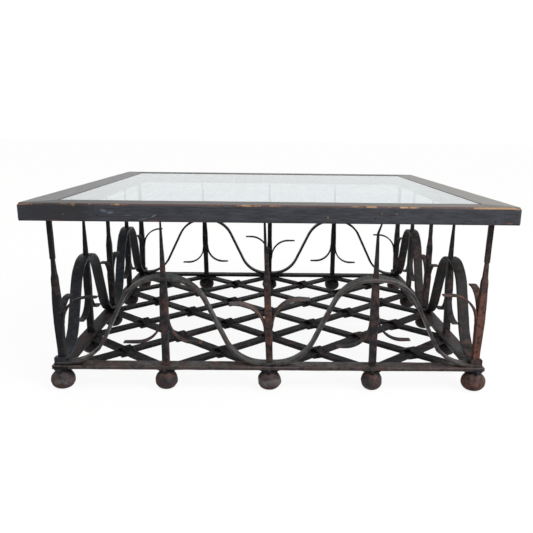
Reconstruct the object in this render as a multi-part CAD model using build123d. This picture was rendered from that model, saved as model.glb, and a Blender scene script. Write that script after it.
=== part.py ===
from build123d import *
import os
from math import cos, radians, sin, sqrt

# Low square coffee table: a painted timber frame holds a loose glass pane, and stands on a
# hand-forged iron base. The base is a square of flat bars on sixteen ball feet. Sixteen
# tapered bars rise from it to the timber, a wavy band runs round them on each side, and a
# diagonal lattice of eyed and plain bars makes a low shelf between the feet.
# Millimetres. The origin is on the floor under the middle of the table, +Z is up and -Y is
# the front.

# Timber frame
TOP_WIDTH = 1070.0
TABLE_HEIGHT = 436.0
TIMBER_WIDTH = 76.0
TIMBER_THICKNESS = 38.0
TIMBER_CORNER_RADIUS = 5.0
TIMBER_EDGE_RADIUS = 2.0
LEDGE_WIDTH = 9.0
SPLINE_LENGTH = 36.0
SPLINE_WIDTH = 28.0
SPLINE_THICKNESS = 5.0
SPLINE_INSET = 19.0
SPLINE_RISE = 16.5
SPLINE_CLEARANCE = 0.2

# Glass pane and the pads that it lies on
GLASS_THICKNESS = 6.0
GLASS_SIDE_GAP = 1.5
GLASS_BELOW_TOP = 1.0
GLASS_ARRIS = 0.8
PAD_DIAMETER = 8.0
PAD_THICKNESS = 1.5
PAD_PLACE = 300.0

# Base: ball feet, lattice, rails
POST_INSET = 52.5
FOOT_HEIGHT = 42.0
FOOT_DIAMETER = 54.0
FOOT_FLAT = 20.0
FOOT_SEAT = 30.0
FOOT_WAIST_SHARE = 0.48
TENON_DIAMETER = 9.0
TENON_IN_FOOT = 20.0
TENON_CLEARANCE = 0.25
BORE_BOTTOM_GAP = 1.0
LATTICE_WIDTH = 28.0
LATTICE_THICKNESS = 9.0
LATTICE_OVERHANG = 16.0
LATTICE_CLEARANCE = 0.3
EYE_STRAP = 4.8
EYE_FOOT = 12.5
EYE_RIDGE_WIDTH = 3.0
RAIL_WIDTH = 38.0
RAIL_THICKNESS = 9.0
RAIL_LAP_CLEARANCE = 0.3

# Wavy band round each side
BAND_WIDTH = 27.0
BAND_THICKNESS = 7.0
BAND_RISE = 203.0
BAND_FLANK_SLOPE = 64.1
BAND_PEAK_LAND = 8.0
BAND_LAP_MARGIN = 0.5
BAND_CORNER_TAIL = 14.0
HOLE_CLEARANCE = 0.25

# Upright bars: widths up each bar's lower length, after the share of that length they stand at.
# Each bar swells where its barbs were split from it and narrows again to its shoulder.
SPEAR_WIDTHS = ((0.0, 16.5), (0.32, 16.0), (0.61, 18.5), (0.75, 18.0), (1.0, 14.0))
MID_WIDTHS = ((0.0, 16.0), (0.12, 16.0), (0.34, 19.0), (0.48, 15.5), (0.69, 16.0), (0.81, 10.5),
              (1.0, 9.5))
CORNER_WIDTHS = ((0.0, 16.0), (0.1, 16.0), (0.37, 19.0), (0.58, 18.0), (0.72, 15.0), (0.81, 14.5),
                 (0.86, 11.0), (1.0, 8.5))
SPEAR_NECK_WIDTH = 12.0
SPEAR_POINT_WIDTH = 3.6
SPEAR_POINT_DEPTH = 6.0
MID_ROD_LENGTH = 63.0
MID_ROD_WIDTH = 6.5
MID_ROD_TOP_WIDTH = 5.0
MID_ROD_DEPTH = 15.0
CORNER_ROD_LENGTH = 92.0
CORNER_ROD_WIDTH = 11.0
CORNER_ROD_DEPTH = 18.0
MORTISE_CLEARANCE = 0.3

# Barbs split from the sides of the upright bars
BARB_WIDTH = 13.5
BARB_ROOT_THICKNESS = 5.0
BARB_TIP_THICKNESS = 3.0
BARB_ROOT_LENGTH = 20.0
BARB_INSET = 0.7
BARB_TAIL = 20.0
RISING_BARB_RADIUS = 62.0
RISING_BARB_TIP_HEIGHT = 214.0
FALLING_BARB_RADIUS = 57.0
FALLING_BARB_TIP_HEIGHT = 113.0

# Plates that hold the corner bars to the timber
PLATE_LENGTH = 56.0
PLATE_WIDTH = 32.0
PLATE_THICKNESS = 3.0
PLATE_CORNER_RADIUS = 6.0
SCREW_SPACING = 38.0
SCREW_SHANK_DIAMETER = 4.0
SCREW_HEAD_DIAMETER = 8.0
SCREW_LENGTH = 22.0
SCREW_SLOT_WIDTH = 1.2
SCREW_SLOT_DEPTH = 1.0
SCREW_CLEARANCE = 0.2

# Heights and places that follow from the sizes above
half_top = TOP_WIDTH / 2
half_inside = half_top - TIMBER_WIDTH
half_rebate = half_inside + LEDGE_WIDTH
timber_bottom = TABLE_HEIGHT - TIMBER_THICKNESS
glass_bottom = TABLE_HEIGHT - GLASS_BELOW_TOP - GLASS_THICKNESS
ledge_height = glass_bottom - PAD_THICKNESS
half_span = half_top - POST_INSET
bay = half_span / 2
lattice_middle = FOOT_HEIGHT + LATTICE_THICKNESS / 2
rail_bottom = FOOT_HEIGHT + LATTICE_THICKNESS
rail_top = rail_bottom + RAIL_THICKNESS
band_valley_top = rail_top + BAND_THICKNESS
band_stack_top = band_valley_top + BAND_THICKNESS
peak_bottom = rail_top + BAND_RISE
valley_land = BAND_WIDTH / 2 + BAND_LAP_MARGIN
tenon_bottom = FOOT_HEIGHT - TENON_IN_FOOT
tenon_hole_radius = TENON_DIAMETER / 2 + TENON_CLEARANCE

# How far each hand-set bar has moved along X where it meets the timber
LEAN_AT_TOP = {
    "mid_post_front": -12.0,
    "corner_post_front_left": -5.0,
    "corner_post_front_right": 7.0,
    "spear_post_front_left": -2.0,
    "spear_post_front_right": 7.0,
    "spear_post_back_left": -10.0,
}

# How far the tip of a hand-bent barb lies above or below its nominal height:
# first the barb towards -X or -Y, then the one towards +X or +Y
BARB_TIP_SHIFT = {
    "mid_post_front": (-8.0, 4.0),
    "mid_post_back": (-11.0, -25.0),
    "corner_post_front_left": (5.0, -12.0),
    "corner_post_front_right": (16.0, 24.0),
    "corner_post_back_left": (15.0, 0.0),
    "spear_post_front_right": (-8.0, 10.0),
    "spear_post_back_left": (-10.0, -5.0),
    "spear_post_back_right": (0.0, -6.0),
}

# How much further a hand-bent barb reaches than its nominal length, in the same order
BARB_EXTRA_REACH = {
    "mid_post_front": (0.0, 4.0),
    "mid_post_back": (0.0, 5.0),
    "corner_post_front_right": (0.0, -12.0),
    "corner_post_back_left": (-12.0, 0.0),
    "spear_post_front_left": (10.0, 0.0),
}


def box_between(low, high):
    """Block from one corner to the opposite one."""
    size = Vector(*high) - Vector(*low)
    middle = (Vector(*high) + Vector(*low)) / 2
    return Pos(middle) * Box(size.X, size.Y, size.Z)


def upright_cylinder(x, y, radius, low, high):
    """Cylinder along Z between two heights."""
    return Pos(x, y, (low + high) / 2) * Cylinder(radius, high - low)


def save(solid, name):
    """Write one sub-part to its own file."""
    solid.label = name
    export_step(solid, f"parts/{name}.step")


class Post:
    """One upright bar: its name, kind, place on the plan and the side that its barbs lie in."""

    def __init__(self, name, kind, x, y):
        self.name = name
        self.kind = kind
        self.x = x
        self.y = y
        self.lean = LEAN_AT_TOP.get(name, 0.0)
        self.shifts = BARB_TIP_SHIFT.get(name, (0.0, 0.0))
        self.reaches = BARB_EXTRA_REACH.get(name, (0.0, 0.0))
        self.base = {"spear": rail_top, "mid": band_valley_top, "corner": band_stack_top}[kind]
        self.lean_start = peak_bottom + BAND_THICKNESS if kind == "spear" else self.base

    def along_x(self):
        """Whether the bar stands in the front or back row, where the band runs along X."""
        return abs(self.y) > abs(self.x) or self.kind == "corner"

    def axis_at(self, height):
        """Middle of the bar at a height: upright at first, then leaning evenly to the timber."""
        share = (height - self.lean_start) / (timber_bottom - self.lean_start)
        return Vector(self.x + self.lean * max(0.0, share), self.y, height)


def make_posts():
    """The sixteen upright bars: the front and back rows with their corners, then the sides."""
    posts = []
    side_names = (("left", -1), ("right", 1))
    for side, y_sign in (("front", -1), ("back", 1)):
        y = y_sign * half_span
        posts.append(Post(f"mid_post_{side}", "mid", 0, y))
        for end, x_sign in side_names:
            posts.append(Post(f"corner_post_{side}_{end}", "corner", x_sign * half_span, y))
            posts.append(Post(f"spear_post_{side}_{end}", "spear", x_sign * bay, y))
    for side, x_sign in side_names:
        x = x_sign * half_span
        posts.append(Post(f"mid_post_{side}", "mid", x, 0))
        for end, y_sign in (("front", -1), ("back", 1)):
            posts.append(Post(f"spear_post_{side}_{end}", "spear", x, y_sign * bay))
    return posts


posts = make_posts()


def tapered_bar(post, stations, shift=0.0):
    """Square bar through (height, width) stations on a leaning axis, moved sideways by shift."""
    offset = Vector(shift, 0, 0) if post.along_x() else Vector(0, shift, 0)
    sections = []
    for height, width in stations:
        sections.append((Pos(post.axis_at(height) + offset) * Rectangle(width, width)).face())
    return loft(sections, ruled=True)


def stations_between(low, high, widths):
    """(height, width) stations of a length of bar, from its widths at shares of that length."""
    return [(low + share * (high - low), width) for share, width in widths]


def post_stations(post):
    """Lower and upper runs of (height, width) stations of a bar, and each run's shift."""
    if post.kind == "spear":
        below = stations_between(post.base, peak_bottom, SPEAR_WIDTHS)
        above = [
            (peak_bottom, SPEAR_NECK_WIDTH),
            (peak_bottom + BAND_THICKNESS, SPEAR_NECK_WIDTH),
            (timber_bottom, SPEAR_POINT_WIDTH),
            (timber_bottom + SPEAR_POINT_DEPTH, SPEAR_POINT_WIDTH),
        ]
        return [(below, 0.0), (above, 0.0)]
    if post.kind == "mid":
        shoulder = timber_bottom - MID_ROD_LENGTH
        below = stations_between(post.base, shoulder, MID_WIDTHS)
        flush = (MID_ROD_WIDTH - below[-1][1]) / 2
        above = [
            (shoulder, MID_ROD_WIDTH),
            (timber_bottom, MID_ROD_TOP_WIDTH),
            (timber_bottom + MID_ROD_DEPTH, MID_ROD_TOP_WIDTH),
        ]
        return [(below, 0.0), (above, flush)]
    shoulder = timber_bottom - CORNER_ROD_LENGTH
    below = stations_between(post.base, shoulder, CORNER_WIDTHS)
    above = [(shoulder, CORNER_ROD_WIDTH), (timber_bottom + CORNER_ROD_DEPTH, CORNER_ROD_WIDTH)]
    return [(below, 0.0), (above, 0.0)]


def width_at(stations, height):
    """Width of a bar at a height between two of its stations."""
    for (low, low_width), (high, high_width) in zip(stations, stations[1:]):
        if low <= height <= high:
            return low_width + (high_width - low_width) * (height - low) / (high - low)
    return stations[-1][1]


def barb_outline(flank, radius, tail):
    """Face in XZ of a barb that rises from a flank and curls out level, with its tip at z = 0."""
    half_root = BARB_ROOT_THICKNESS / 2
    half_tip = BARB_TIP_THICKNESS / 2
    start = flank - BARB_INSET
    turn_end = start + radius
    tip = turn_end + tail
    with BuildSketch(Plane.XZ) as sketch:
        with BuildLine():
            CenterArc((turn_end, -radius), radius + half_root, 90, 90)
            Line((turn_end, half_root), (tip, half_tip))
            Line((tip, half_tip), (tip, -half_tip))
            Line((tip, -half_tip), (turn_end, -half_root))
            CenterArc((turn_end, -radius), radius - half_root, 90, 90)
            Line((start + half_root, -radius), (start - half_root, -radius - BARB_ROOT_LENGTH))
            Line((start - half_root, -radius - BARB_ROOT_LENGTH), (start - half_root, -radius))
        make_face()
    return sketch.sketch


def barb(post, stations, direction, turn, shift, reach):
    """Flat curled barb: direction is 1 rising or -1 falling, turn is its angle on the plan."""
    rising = direction > 0
    radius = RISING_BARB_RADIUS if rising else FALLING_BARB_RADIUS
    tip_height = (RISING_BARB_TIP_HEIGHT if rising else FALLING_BARB_TIP_HEIGHT) + shift
    root_height = tip_height - direction * radius
    flank = width_at(stations, root_height) / 2
    flat = extrude(barb_outline(flank, radius, BARB_TAIL + reach), BARB_WIDTH / 2, both=True)
    if not rising:
        flat = mirror(flat, Plane.XY)
    middle = post.axis_at(root_height)
    return Pos(middle.X, middle.Y, tip_height) * (Rot(0, 0, turn) * flat)


def barb_turns(post):
    """Plan angle of each barb of a bar, in the order of its tip shifts and reaches."""
    if post.kind == "corner":
        along_x = 180 if post.x > 0 else 0
        along_y = -90 if post.y > 0 else 90
        return (along_x, along_y)
    return (180, 0) if post.along_x() else (-90, 90)


def make_post(post):
    """Upright bar with its barbs, and the round tenon that pins the base together under it."""
    runs = post_stations(post)
    bars = [tapered_bar(post, stations, shift) for stations, shift in runs]
    tenon = upright_cylinder(post.x, post.y, TENON_DIAMETER / 2, tenon_bottom, post.base)
    direction = -1 if post.kind == "spear" else 1
    lower = runs[0][0]
    barbs = [barb(post, lower, direction, turn, shift, reach)
             for turn, shift, reach in zip(barb_turns(post), post.shifts, post.reaches)]
    return bars[0].fuse(*bars[1:], tenon, *barbs).solid()


def post_sleeve(post, low, high, clearance):
    """The space that an upright bar's upper run takes between two heights, with a clearance."""
    stations, shift = post_stations(post)[1]
    grown = [(height, width_at(stations, height) + 2 * clearance) for height in (low, high)]
    return tapered_bar(post, grown, shift)


def tenon_hole(post, low, high):
    """The round hole for a bar's tenon between two heights."""
    return upright_cylinder(post.x, post.y, tenon_hole_radius, low, high)


# Timber frame: four mitred rails cut from one ring, so their corners meet
corner_posts = [post for post in posts if post.kind == "corner"]
spline_middle = half_top * sqrt(2) - SPLINE_INSET - SPLINE_LENGTH / 2


def screw_places(post):
    """Plan places of the two screws of a corner plate."""
    middle = post.axis_at(timber_bottom)
    return [(middle.X + side * SCREW_SPACING / 2, middle.Y) for side in (-1, 1)]


def spline_block(clearance):
    """The thin hardwood keys across the four mitres, each swelled by a clearance all round."""
    length = SPLINE_LENGTH + 2 * clearance
    width = SPLINE_WIDTH + 2 * clearance
    thickness = SPLINE_THICKNESS + 2 * clearance
    middle = Pos(spline_middle, 0, timber_bottom + SPLINE_RISE)
    return [Rot(0, 0, 45 + 90 * i) * (middle * Box(length, width, thickness)) for i in range(4)]


def mortise(post):
    """The blind hole in the timber that holds a bar's top."""
    depth = {"spear": SPEAR_POINT_DEPTH, "mid": MID_ROD_DEPTH, "corner": CORNER_ROD_DEPTH}
    top = timber_bottom + depth[post.kind]
    hole = post_sleeve(post, timber_bottom, top, MORTISE_CLEARANCE)
    return hole.fuse(Pos(0, 0, MORTISE_CLEARANCE) * hole).solid()


def timber_ring():
    """The whole timber frame before it is parted along its mitres, with its outer edges eased."""
    outside = box_between((-half_top, -half_top, timber_bottom), (half_top, half_top, TABLE_HEIGHT))
    outside = outside.fillet(TIMBER_CORNER_RADIUS, outside.edges().filter_by(Axis.Z))
    levels = outside.edges().group_by(Axis.Z)
    outside = outside.fillet(TIMBER_EDGE_RADIUS, levels[0] + levels[-1])
    inside = box_between((-half_inside, -half_inside, timber_bottom),
                         (half_inside, half_inside, TABLE_HEIGHT))
    rebate = box_between((-half_rebate, -half_rebate, ledge_height),
                         (half_rebate, half_rebate, TABLE_HEIGHT))
    holes = [mortise(post) for post in posts]
    screw_hole_radius = SCREW_SHANK_DIAMETER / 2 + SCREW_CLEARANCE
    screw_top = timber_bottom + SCREW_LENGTH - PLATE_THICKNESS + SCREW_CLEARANCE
    for post in corner_posts:
        for x, y in screw_places(post):
            holes.append(upright_cylinder(x, y, screw_hole_radius, timber_bottom, screw_top))
    return outside.cut(inside, rebate, *holes, *spline_block(SPLINE_CLEARANCE))


def make_timber():
    """The four rails of the top, each a mitred length of the ring."""
    ring = timber_ring()
    with BuildSketch() as quarter:
        with BuildLine():
            Polyline((0, 0), (-half_top, -half_top), (half_top, -half_top), close=True)
        make_face()
    wedge = extrude(quarter.sketch, TABLE_HEIGHT)
    for i, side in enumerate(("front", "right", "back", "left")):
        save((ring & (Rot(0, 0, 90 * i) * wedge)).solid(), f"top_rail_{side}")
    save(Compound(spline_block(0.0)), "mitre_splines")


def make_glass():
    """The loose pane, and the eight clear pads on the ledge under it."""
    half_glass = half_rebate - GLASS_SIDE_GAP
    pane = box_between((-half_glass, -half_glass, glass_bottom),
                       (half_glass, half_glass, glass_bottom + GLASS_THICKNESS))
    level_edges = pane.edges().group_by(Axis.Z)[0] + pane.edges().group_by(Axis.Z)[-1]
    save(pane.chamfer(GLASS_ARRIS, None, level_edges), "glass_pane")
    pads = []
    across = half_inside + LEDGE_WIDTH / 2
    for i in range(4):
        for along in (-PAD_PLACE, PAD_PLACE):
            pad = upright_cylinder(along, across, PAD_DIAMETER / 2, ledge_height, glass_bottom)
            pads.append(Rot(0, 0, 90 * i) * pad)
    save(Compound(pads), "glass_pads")


def make_plates():
    """The four plates under the timber's corners, with their countersunk screws."""
    plate_bottom = timber_bottom - PLATE_THICKNESS
    shank_radius = SCREW_SHANK_DIAMETER / 2
    head_radius = SCREW_HEAD_DIAMETER / 2
    sink = head_radius - shank_radius
    screws = []
    for post in corner_posts:
        middle = post.axis_at(timber_bottom)
        blank = extrude(RectangleRounded(PLATE_LENGTH, PLATE_WIDTH, PLATE_CORNER_RADIUS),
                        PLATE_THICKNESS)
        plate = Pos(middle.X, middle.Y, plate_bottom) * blank
        plate = plate.cut(post_sleeve(post, plate_bottom, timber_bottom, MORTISE_CLEARANCE))
        for x, y in screw_places(post):
            hole = Pos(x, y, plate_bottom + sink / 2) * Cone(
                head_radius + SCREW_CLEARANCE, shank_radius + SCREW_CLEARANCE, sink)
            shank_hole = upright_cylinder(x, y, shank_radius + SCREW_CLEARANCE,
                                          plate_bottom, timber_bottom)
            plate = plate.cut(hole, shank_hole)
            head = Pos(x, y, plate_bottom + sink / 2) * Cone(head_radius, shank_radius, sink)
            shank = upright_cylinder(x, y, shank_radius, plate_bottom,
                                     plate_bottom + SCREW_LENGTH)
            slot = Pos(x, y, plate_bottom) * Box(SCREW_HEAD_DIAMETER, SCREW_SLOT_WIDTH,
                                                 2 * SCREW_SLOT_DEPTH)
            screws.append(head.fuse(shank).cut(slot).solid())
        save(plate.solid(), post.name.replace("corner_post", "corner_plate"))
    save(Compound(screws), "plate_screws")


def make_rails():
    """Flat bars along the four sides, half-lapped at the corners, one hole for each tenon."""
    half_rail = RAIL_WIDTH / 2
    end = half_span + half_rail
    lap_start = half_span - half_rail - RAIL_LAP_CLEARANCE
    lap_height = (rail_bottom + rail_top) / 2
    for i, side in enumerate(("front", "right", "back", "left")):
        along_x = side in ("front", "back")
        bar = box_between((-end, -half_span - half_rail, rail_bottom),
                          (end, -half_span + half_rail, rail_top))
        cut_low, cut_high = (rail_bottom, lap_height) if along_x else (lap_height, rail_top)
        for x_sign in (-1, 1):
            ends = sorted((x_sign * lap_start, x_sign * end))
            bar = bar.cut(box_between((ends[0], -half_span - half_rail, cut_low),
                                      (ends[1], -half_span + half_rail, cut_high)))
        bar = Rot(0, 0, 90 * i) * bar
        holes = [tenon_hole(post, rail_bottom, rail_top) for post in posts]
        save(bar.cut(*holes).solid(), f"base_rail_{side}")


def rising_wave(start, end):
    """Edges of a band's middle line from a valley (start) up to a peak (end), in X and Z.

    Two equal arcs, level at the valley and at the peak, and the straight flank between them,
    whose slope sets the arcs' radius.
    """
    run = end[0] - start[0]
    rise = end[1] - start[1]
    slope = radians(BAND_FLANK_SLOPE)
    radius = (run * sin(slope) - rise * cos(slope)) / (2 * (1 - cos(slope)))
    step_x = radius * sin(slope)
    step_z = radius * (1 - cos(slope))
    return [
        CenterArc((start[0], start[1] + radius), radius, -90, BAND_FLANK_SLOPE),
        Line((start[0] + step_x, start[1] + step_z), (end[0] - step_x, end[1] - step_z)),
        CenterArc((end[0], end[1] - radius), radius, 90 + BAND_FLANK_SLOPE, -BAND_FLANK_SLOPE),
    ]


def falling_wave(edges):
    """The mirrored wave, which falls from the peak again on the other side of X = 0."""
    return [mirror(edge, Plane.YZ) for edge in reversed(edges)]


def band_line(corner_level):
    """Middle line of one band in X and Z, from corner to corner over its two peaks."""
    middle_level = rail_top + BAND_THICKNESS / 2
    peak_level = middle_level + BAND_RISE
    tail = half_span + BAND_CORNER_TAIL
    corner = half_span - valley_land
    peak_low = bay - BAND_PEAK_LAND
    peak_high = bay + BAND_PEAK_LAND
    outer = rising_wave((-corner, corner_level), (-peak_high, peak_level))
    inner = rising_wave((valley_land, middle_level), (peak_low, peak_level))
    runs = [Line((-tail, corner_level), (-corner, corner_level))]
    runs += outer
    runs.append(Line((-peak_high, peak_level), (-peak_low, peak_level)))
    runs += falling_wave(inner)
    runs.append(Line((-valley_land, middle_level), (valley_land, middle_level)))
    runs += inner
    runs.append(Line((peak_low, peak_level), (peak_high, peak_level)))
    runs += falling_wave(outer)
    runs.append(Line((corner, corner_level), (tail, corner_level)))
    return Wire([run.edge() for run in runs])


def make_bands():
    """The four wavy flat bars, pierced on each peak and in each valley for the upright bars."""
    for i, side in enumerate(("front", "right", "back", "left")):
        crosses_under = side in ("front", "back")
        corner_bottom = rail_top if crosses_under else band_valley_top
        path = band_line(corner_bottom + BAND_THICKNESS / 2)
        section = Plane(origin=path @ 0, x_dir=(0, 0, 1), z_dir=(1, 0, 0))
        flat = sweep(section * Rectangle(BAND_WIDTH, BAND_THICKNESS), path)
        band = Pos(0, -half_span, 0) * (Rot(90, 0, 0) * flat)
        band = Rot(0, 0, 90 * i) * band
        holes = [tenon_hole(post, rail_top, band_stack_top) for post in posts if post.kind != "spear"]
        peak_top = peak_bottom + BAND_THICKNESS
        holes += [post_sleeve(post, peak_bottom, peak_top, HOLE_CLEARANCE)
                  for post in posts if post.kind == "spear"]
        save(band.cut(*holes).solid(), f"wave_band_{side}")


def lattice_bar(length, ends_at_corners, eyed):
    """Lattice bar along X about its middle: half-lapped at its ends, or with an eye at each cross."""
    half_length = length / 2
    half_width = LATTICE_WIDTH / 2
    half_thickness = LATTICE_THICKNESS / 2
    end = half_length + LATTICE_OVERHANG
    bar = box_between((-end, -half_width, -half_thickness), (end, half_width, half_thickness))
    if not ends_at_corners:
        lap = half_length - half_width - LATTICE_CLEARANCE
        low, high = (0, half_thickness) if eyed else (-half_thickness, 0)
        for sign in (-1, 1):
            ends = sorted((sign * lap, sign * end))
            bar = bar.cut(box_between((ends[0], -half_width, low), (ends[1], half_width, high)))
    if eyed:
        bar = add_eyes(bar, half_length)
    holes = [upright_cylinder(sign * half_length, 0, tenon_hole_radius, -LATTICE_THICKNESS,
                              LATTICE_THICKNESS) for sign in (-1, 1)]
    return bar.cut(*holes)


def eye_prism(half_length, half_height, slope):
    """Block across a lattice bar: a box of the given half sizes with a roof above and below it."""
    half_ridge = EYE_RIDGE_WIDTH / 2
    peak = half_height + slope * (half_length - half_ridge)
    with BuildSketch(Plane.XZ) as side_view:
        with BuildLine():
            Polyline((-half_length, half_height), (-half_ridge, peak), (half_ridge, peak),
                     (half_length, half_height), (half_length, -half_height), (half_ridge, -peak),
                     (-half_ridge, -peak), (-half_length, -half_height), close=True)
        make_face()
    return extrude(side_view.sketch, LATTICE_WIDTH / 2, both=True)


def add_eyes(bar, half_length):
    """Split a bar into two roofed straps, open sideways, wherever a plain bar passes through."""
    half_thickness = LATTICE_THICKNESS / 2
    hole_half_length = LATTICE_WIDTH / 2 + LATTICE_CLEARANCE
    hole_half_height = half_thickness + LATTICE_CLEARANCE
    slope = (LATTICE_CLEARANCE + EYE_STRAP) / EYE_FOOT
    eye = eye_prism(hole_half_length + EYE_FOOT, half_thickness, slope)
    hole = eye_prism(hole_half_length, hole_half_height, slope)
    half_step = bay / sqrt(2)
    crosses = round(2 * half_length / half_step) - 1
    places = [Pos((i - (crosses - 1) / 2) * half_step, 0, 0) for i in range(crosses)]
    return bar.fuse(*[place * eye for place in places]).cut(*[place * hole for place in places])


def make_lattice():
    """The plain and the eyed bars on the two diagonals, at one height."""
    front_row = [post for post in posts if post.y == -half_span]
    bays = len(front_row) - 1
    for kind, turn, eyed in (("plain", 45, False), ("eyed", -45, True)):
        for i in range(2 * bays - 1):
            offset = i - (bays - 1)
            length = (bays - abs(offset)) * bay * sqrt(2)
            bar = lattice_bar(length, offset == 0, eyed)
            place = Pos(0, offset * bay / sqrt(2), lattice_middle)
            save((Rot(0, 0, turn) * (place * bar)).solid(), f"lattice_bar_{kind}_{i + 1}")


def ball_foot(post):
    """Forged ball under one upright bar, flattened below and above, bored for its tenon."""
    waist = FOOT_HEIGHT * FOOT_WAIST_SHARE
    with BuildSketch(Plane.XZ) as half_section:
        with BuildLine():
            Line((0, 0), (FOOT_FLAT / 2, 0))
            lower = TangentArc((FOOT_DIAMETER / 2, waist), (FOOT_FLAT / 2, 0),
                               tangent=(0, -1))
            TangentArc(lower @ 0, (FOOT_SEAT / 2, FOOT_HEIGHT), tangent=(0, 1))
            Line((FOOT_SEAT / 2, FOOT_HEIGHT), (0, FOOT_HEIGHT))
            Line((0, FOOT_HEIGHT), (0, 0))
        make_face()
    ball = Pos(post.x, post.y, 0) * revolve(half_section.sketch, Axis.Z)
    return ball.cut(tenon_hole(post, tenon_bottom - BORE_BOTTOM_GAP, FOOT_HEIGHT)).solid()


def make_feet():
    """Sixteen ball feet: a node for each corner, and one for the three of each side."""
    for post in corner_posts:
        save(ball_foot(post), post.name.replace("corner_post", "ball_foot"))
    for side in ("front", "back", "left", "right"):
        balls = [ball_foot(post) for post in posts
                 if post.kind != "corner" and post.name.split("_")[2] == side]
        save(Compound(balls), f"ball_feet_{side}")


os.makedirs("parts", exist_ok=True)
make_timber()
make_glass()
make_plates()
for upright in posts:
    save(make_post(upright), upright.name)
make_bands()
make_rails()
make_lattice()
make_feet()
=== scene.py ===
import math

import bpy
import numpy as np
from mathutils import Matrix, Vector


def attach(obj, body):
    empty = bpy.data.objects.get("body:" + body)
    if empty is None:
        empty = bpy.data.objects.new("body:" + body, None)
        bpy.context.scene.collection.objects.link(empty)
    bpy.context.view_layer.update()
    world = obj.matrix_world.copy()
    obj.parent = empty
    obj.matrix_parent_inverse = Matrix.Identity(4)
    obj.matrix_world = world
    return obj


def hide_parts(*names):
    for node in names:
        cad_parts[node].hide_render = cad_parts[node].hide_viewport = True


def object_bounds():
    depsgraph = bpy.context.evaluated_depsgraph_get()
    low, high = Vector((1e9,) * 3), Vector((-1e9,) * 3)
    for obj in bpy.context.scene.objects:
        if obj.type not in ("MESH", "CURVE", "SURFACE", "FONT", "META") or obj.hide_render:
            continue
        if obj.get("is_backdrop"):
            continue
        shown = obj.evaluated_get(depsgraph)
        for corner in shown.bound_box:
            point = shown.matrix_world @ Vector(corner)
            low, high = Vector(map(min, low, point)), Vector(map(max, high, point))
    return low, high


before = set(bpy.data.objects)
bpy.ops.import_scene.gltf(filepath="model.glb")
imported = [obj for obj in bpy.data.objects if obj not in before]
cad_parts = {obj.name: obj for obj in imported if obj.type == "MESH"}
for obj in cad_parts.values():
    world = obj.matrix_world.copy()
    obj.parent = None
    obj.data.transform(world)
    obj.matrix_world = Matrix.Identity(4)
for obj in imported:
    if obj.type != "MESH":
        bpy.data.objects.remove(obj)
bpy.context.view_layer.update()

# Camera: held by hand in front of the table, a little above its top and aimed down at the shelf.
# Its lens is shifted a little, as the frame lies off-centre.
CAMERA_PLACE = (-0.0043, -1.8479, 0.5838)
CAMERA_YAW, CAMERA_PITCH, CAMERA_ROLL = -0.0161, 0.2611, -0.0122
FRAME_PIXELS = 533
FOCAL_PIXELS = 621.03
CENTRE_PIXEL = (277.8, 298.56)
SENSOR_WIDTH = 36.0

camera_data = bpy.data.cameras.new("camera")
camera_data.sensor_width = SENSOR_WIDTH
camera_data.lens = SENSOR_WIDTH * FOCAL_PIXELS / FRAME_PIXELS
camera_data.shift_x = (FRAME_PIXELS / 2 - CENTRE_PIXEL[0]) / FRAME_PIXELS
camera_data.shift_y = (CENTRE_PIXEL[1] - FRAME_PIXELS / 2) / FRAME_PIXELS
camera = bpy.data.objects.new("camera", camera_data)
aim = (Matrix.Rotation(CAMERA_YAW, 4, "Z") @ Matrix.Rotation(-CAMERA_PITCH, 4, "X")
       @ Matrix.Rotation(CAMERA_ROLL, 4, "Y") @ Matrix.Rotation(math.pi / 2, 4, "X"))
camera.matrix_world = Matrix.Translation(CAMERA_PLACE) @ aim
bpy.context.scene.collection.objects.link(camera)
bpy.context.scene.camera = camera
bpy.context.scene.view_settings.view_transform = "Standard"

# Studio: a white room with a pale matt floor. The ceiling gives most of the light, the walls
# little, and one wide softbox beyond the table's front right corner shapes the iron. To bounced
# light the floor is a mid grey, so that the undersides stay deep.
PALE_FLOOR = "#F7F6F3"
FLOOR_TO_IRON = "#8C8A86"
FLOOR_GLOW_SHARE = 0.92
WHITE = (1, 1, 1, 1)
WALL_GLOW, CEILING_GLOW = 0.29, 1.12
CEILING_STARTS = 0.9
FLOOR_HALF = 40.0
SOFTBOX_PLACE = (2.0, -2.0, 2.3)
SOFTBOX_SIZE = 1.8
SOFTBOX_WATTS = 85.0


def linear(code):
    """Linear red, green, blue and 1 from an sRGB hex code, by the sRGB transfer curve."""
    channels = np.array([int(code[i:i + 2], 16) for i in (1, 3, 5)]) / 255
    curved = np.where(channels <= 0.04045, channels / 12.92, ((channels + 0.055) / 1.055) ** 2.4)
    return (*curved.tolist(), 1.0)


def add(tree, kind, inputs=(), **settings):
    """Add a shader node of a kind with its settings, and return its outputs.

    Its inputs are given in their order or by their keys, each as a value or as a link.
    """
    node = tree.nodes.new("ShaderNode" + kind)
    for key, value in settings.items():
        setattr(node, key, value)
    for key, value in inputs.items() if isinstance(inputs, dict) else enumerate(inputs):
        if isinstance(value, bpy.types.NodeSocket):
            tree.links.new(value, node.inputs[key])
        else:
            node.inputs[key].default_value = value
    return node.outputs


def seen_directly(tree):
    """1 where a ray comes from the camera, a reflection or through glass, 0 for bounced light."""
    path = add(tree, "LightPath")
    either = add(tree, "Math", [path["Is Camera Ray"], path["Is Glossy Ray"]], operation="MAXIMUM")[0]
    return add(tree, "Math", [either, path["Is Transmission Ray"]], operation="MAXIMUM")[0]


def blank_material(name):
    """A new material, its emptied node tree, and the Object coordinates in it."""
    material = bpy.data.materials.new(name)
    material.use_nodes = True
    material.node_tree.nodes.clear()
    return material, material.node_tree, add(material.node_tree, "TexCoord")["Object"]


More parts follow.
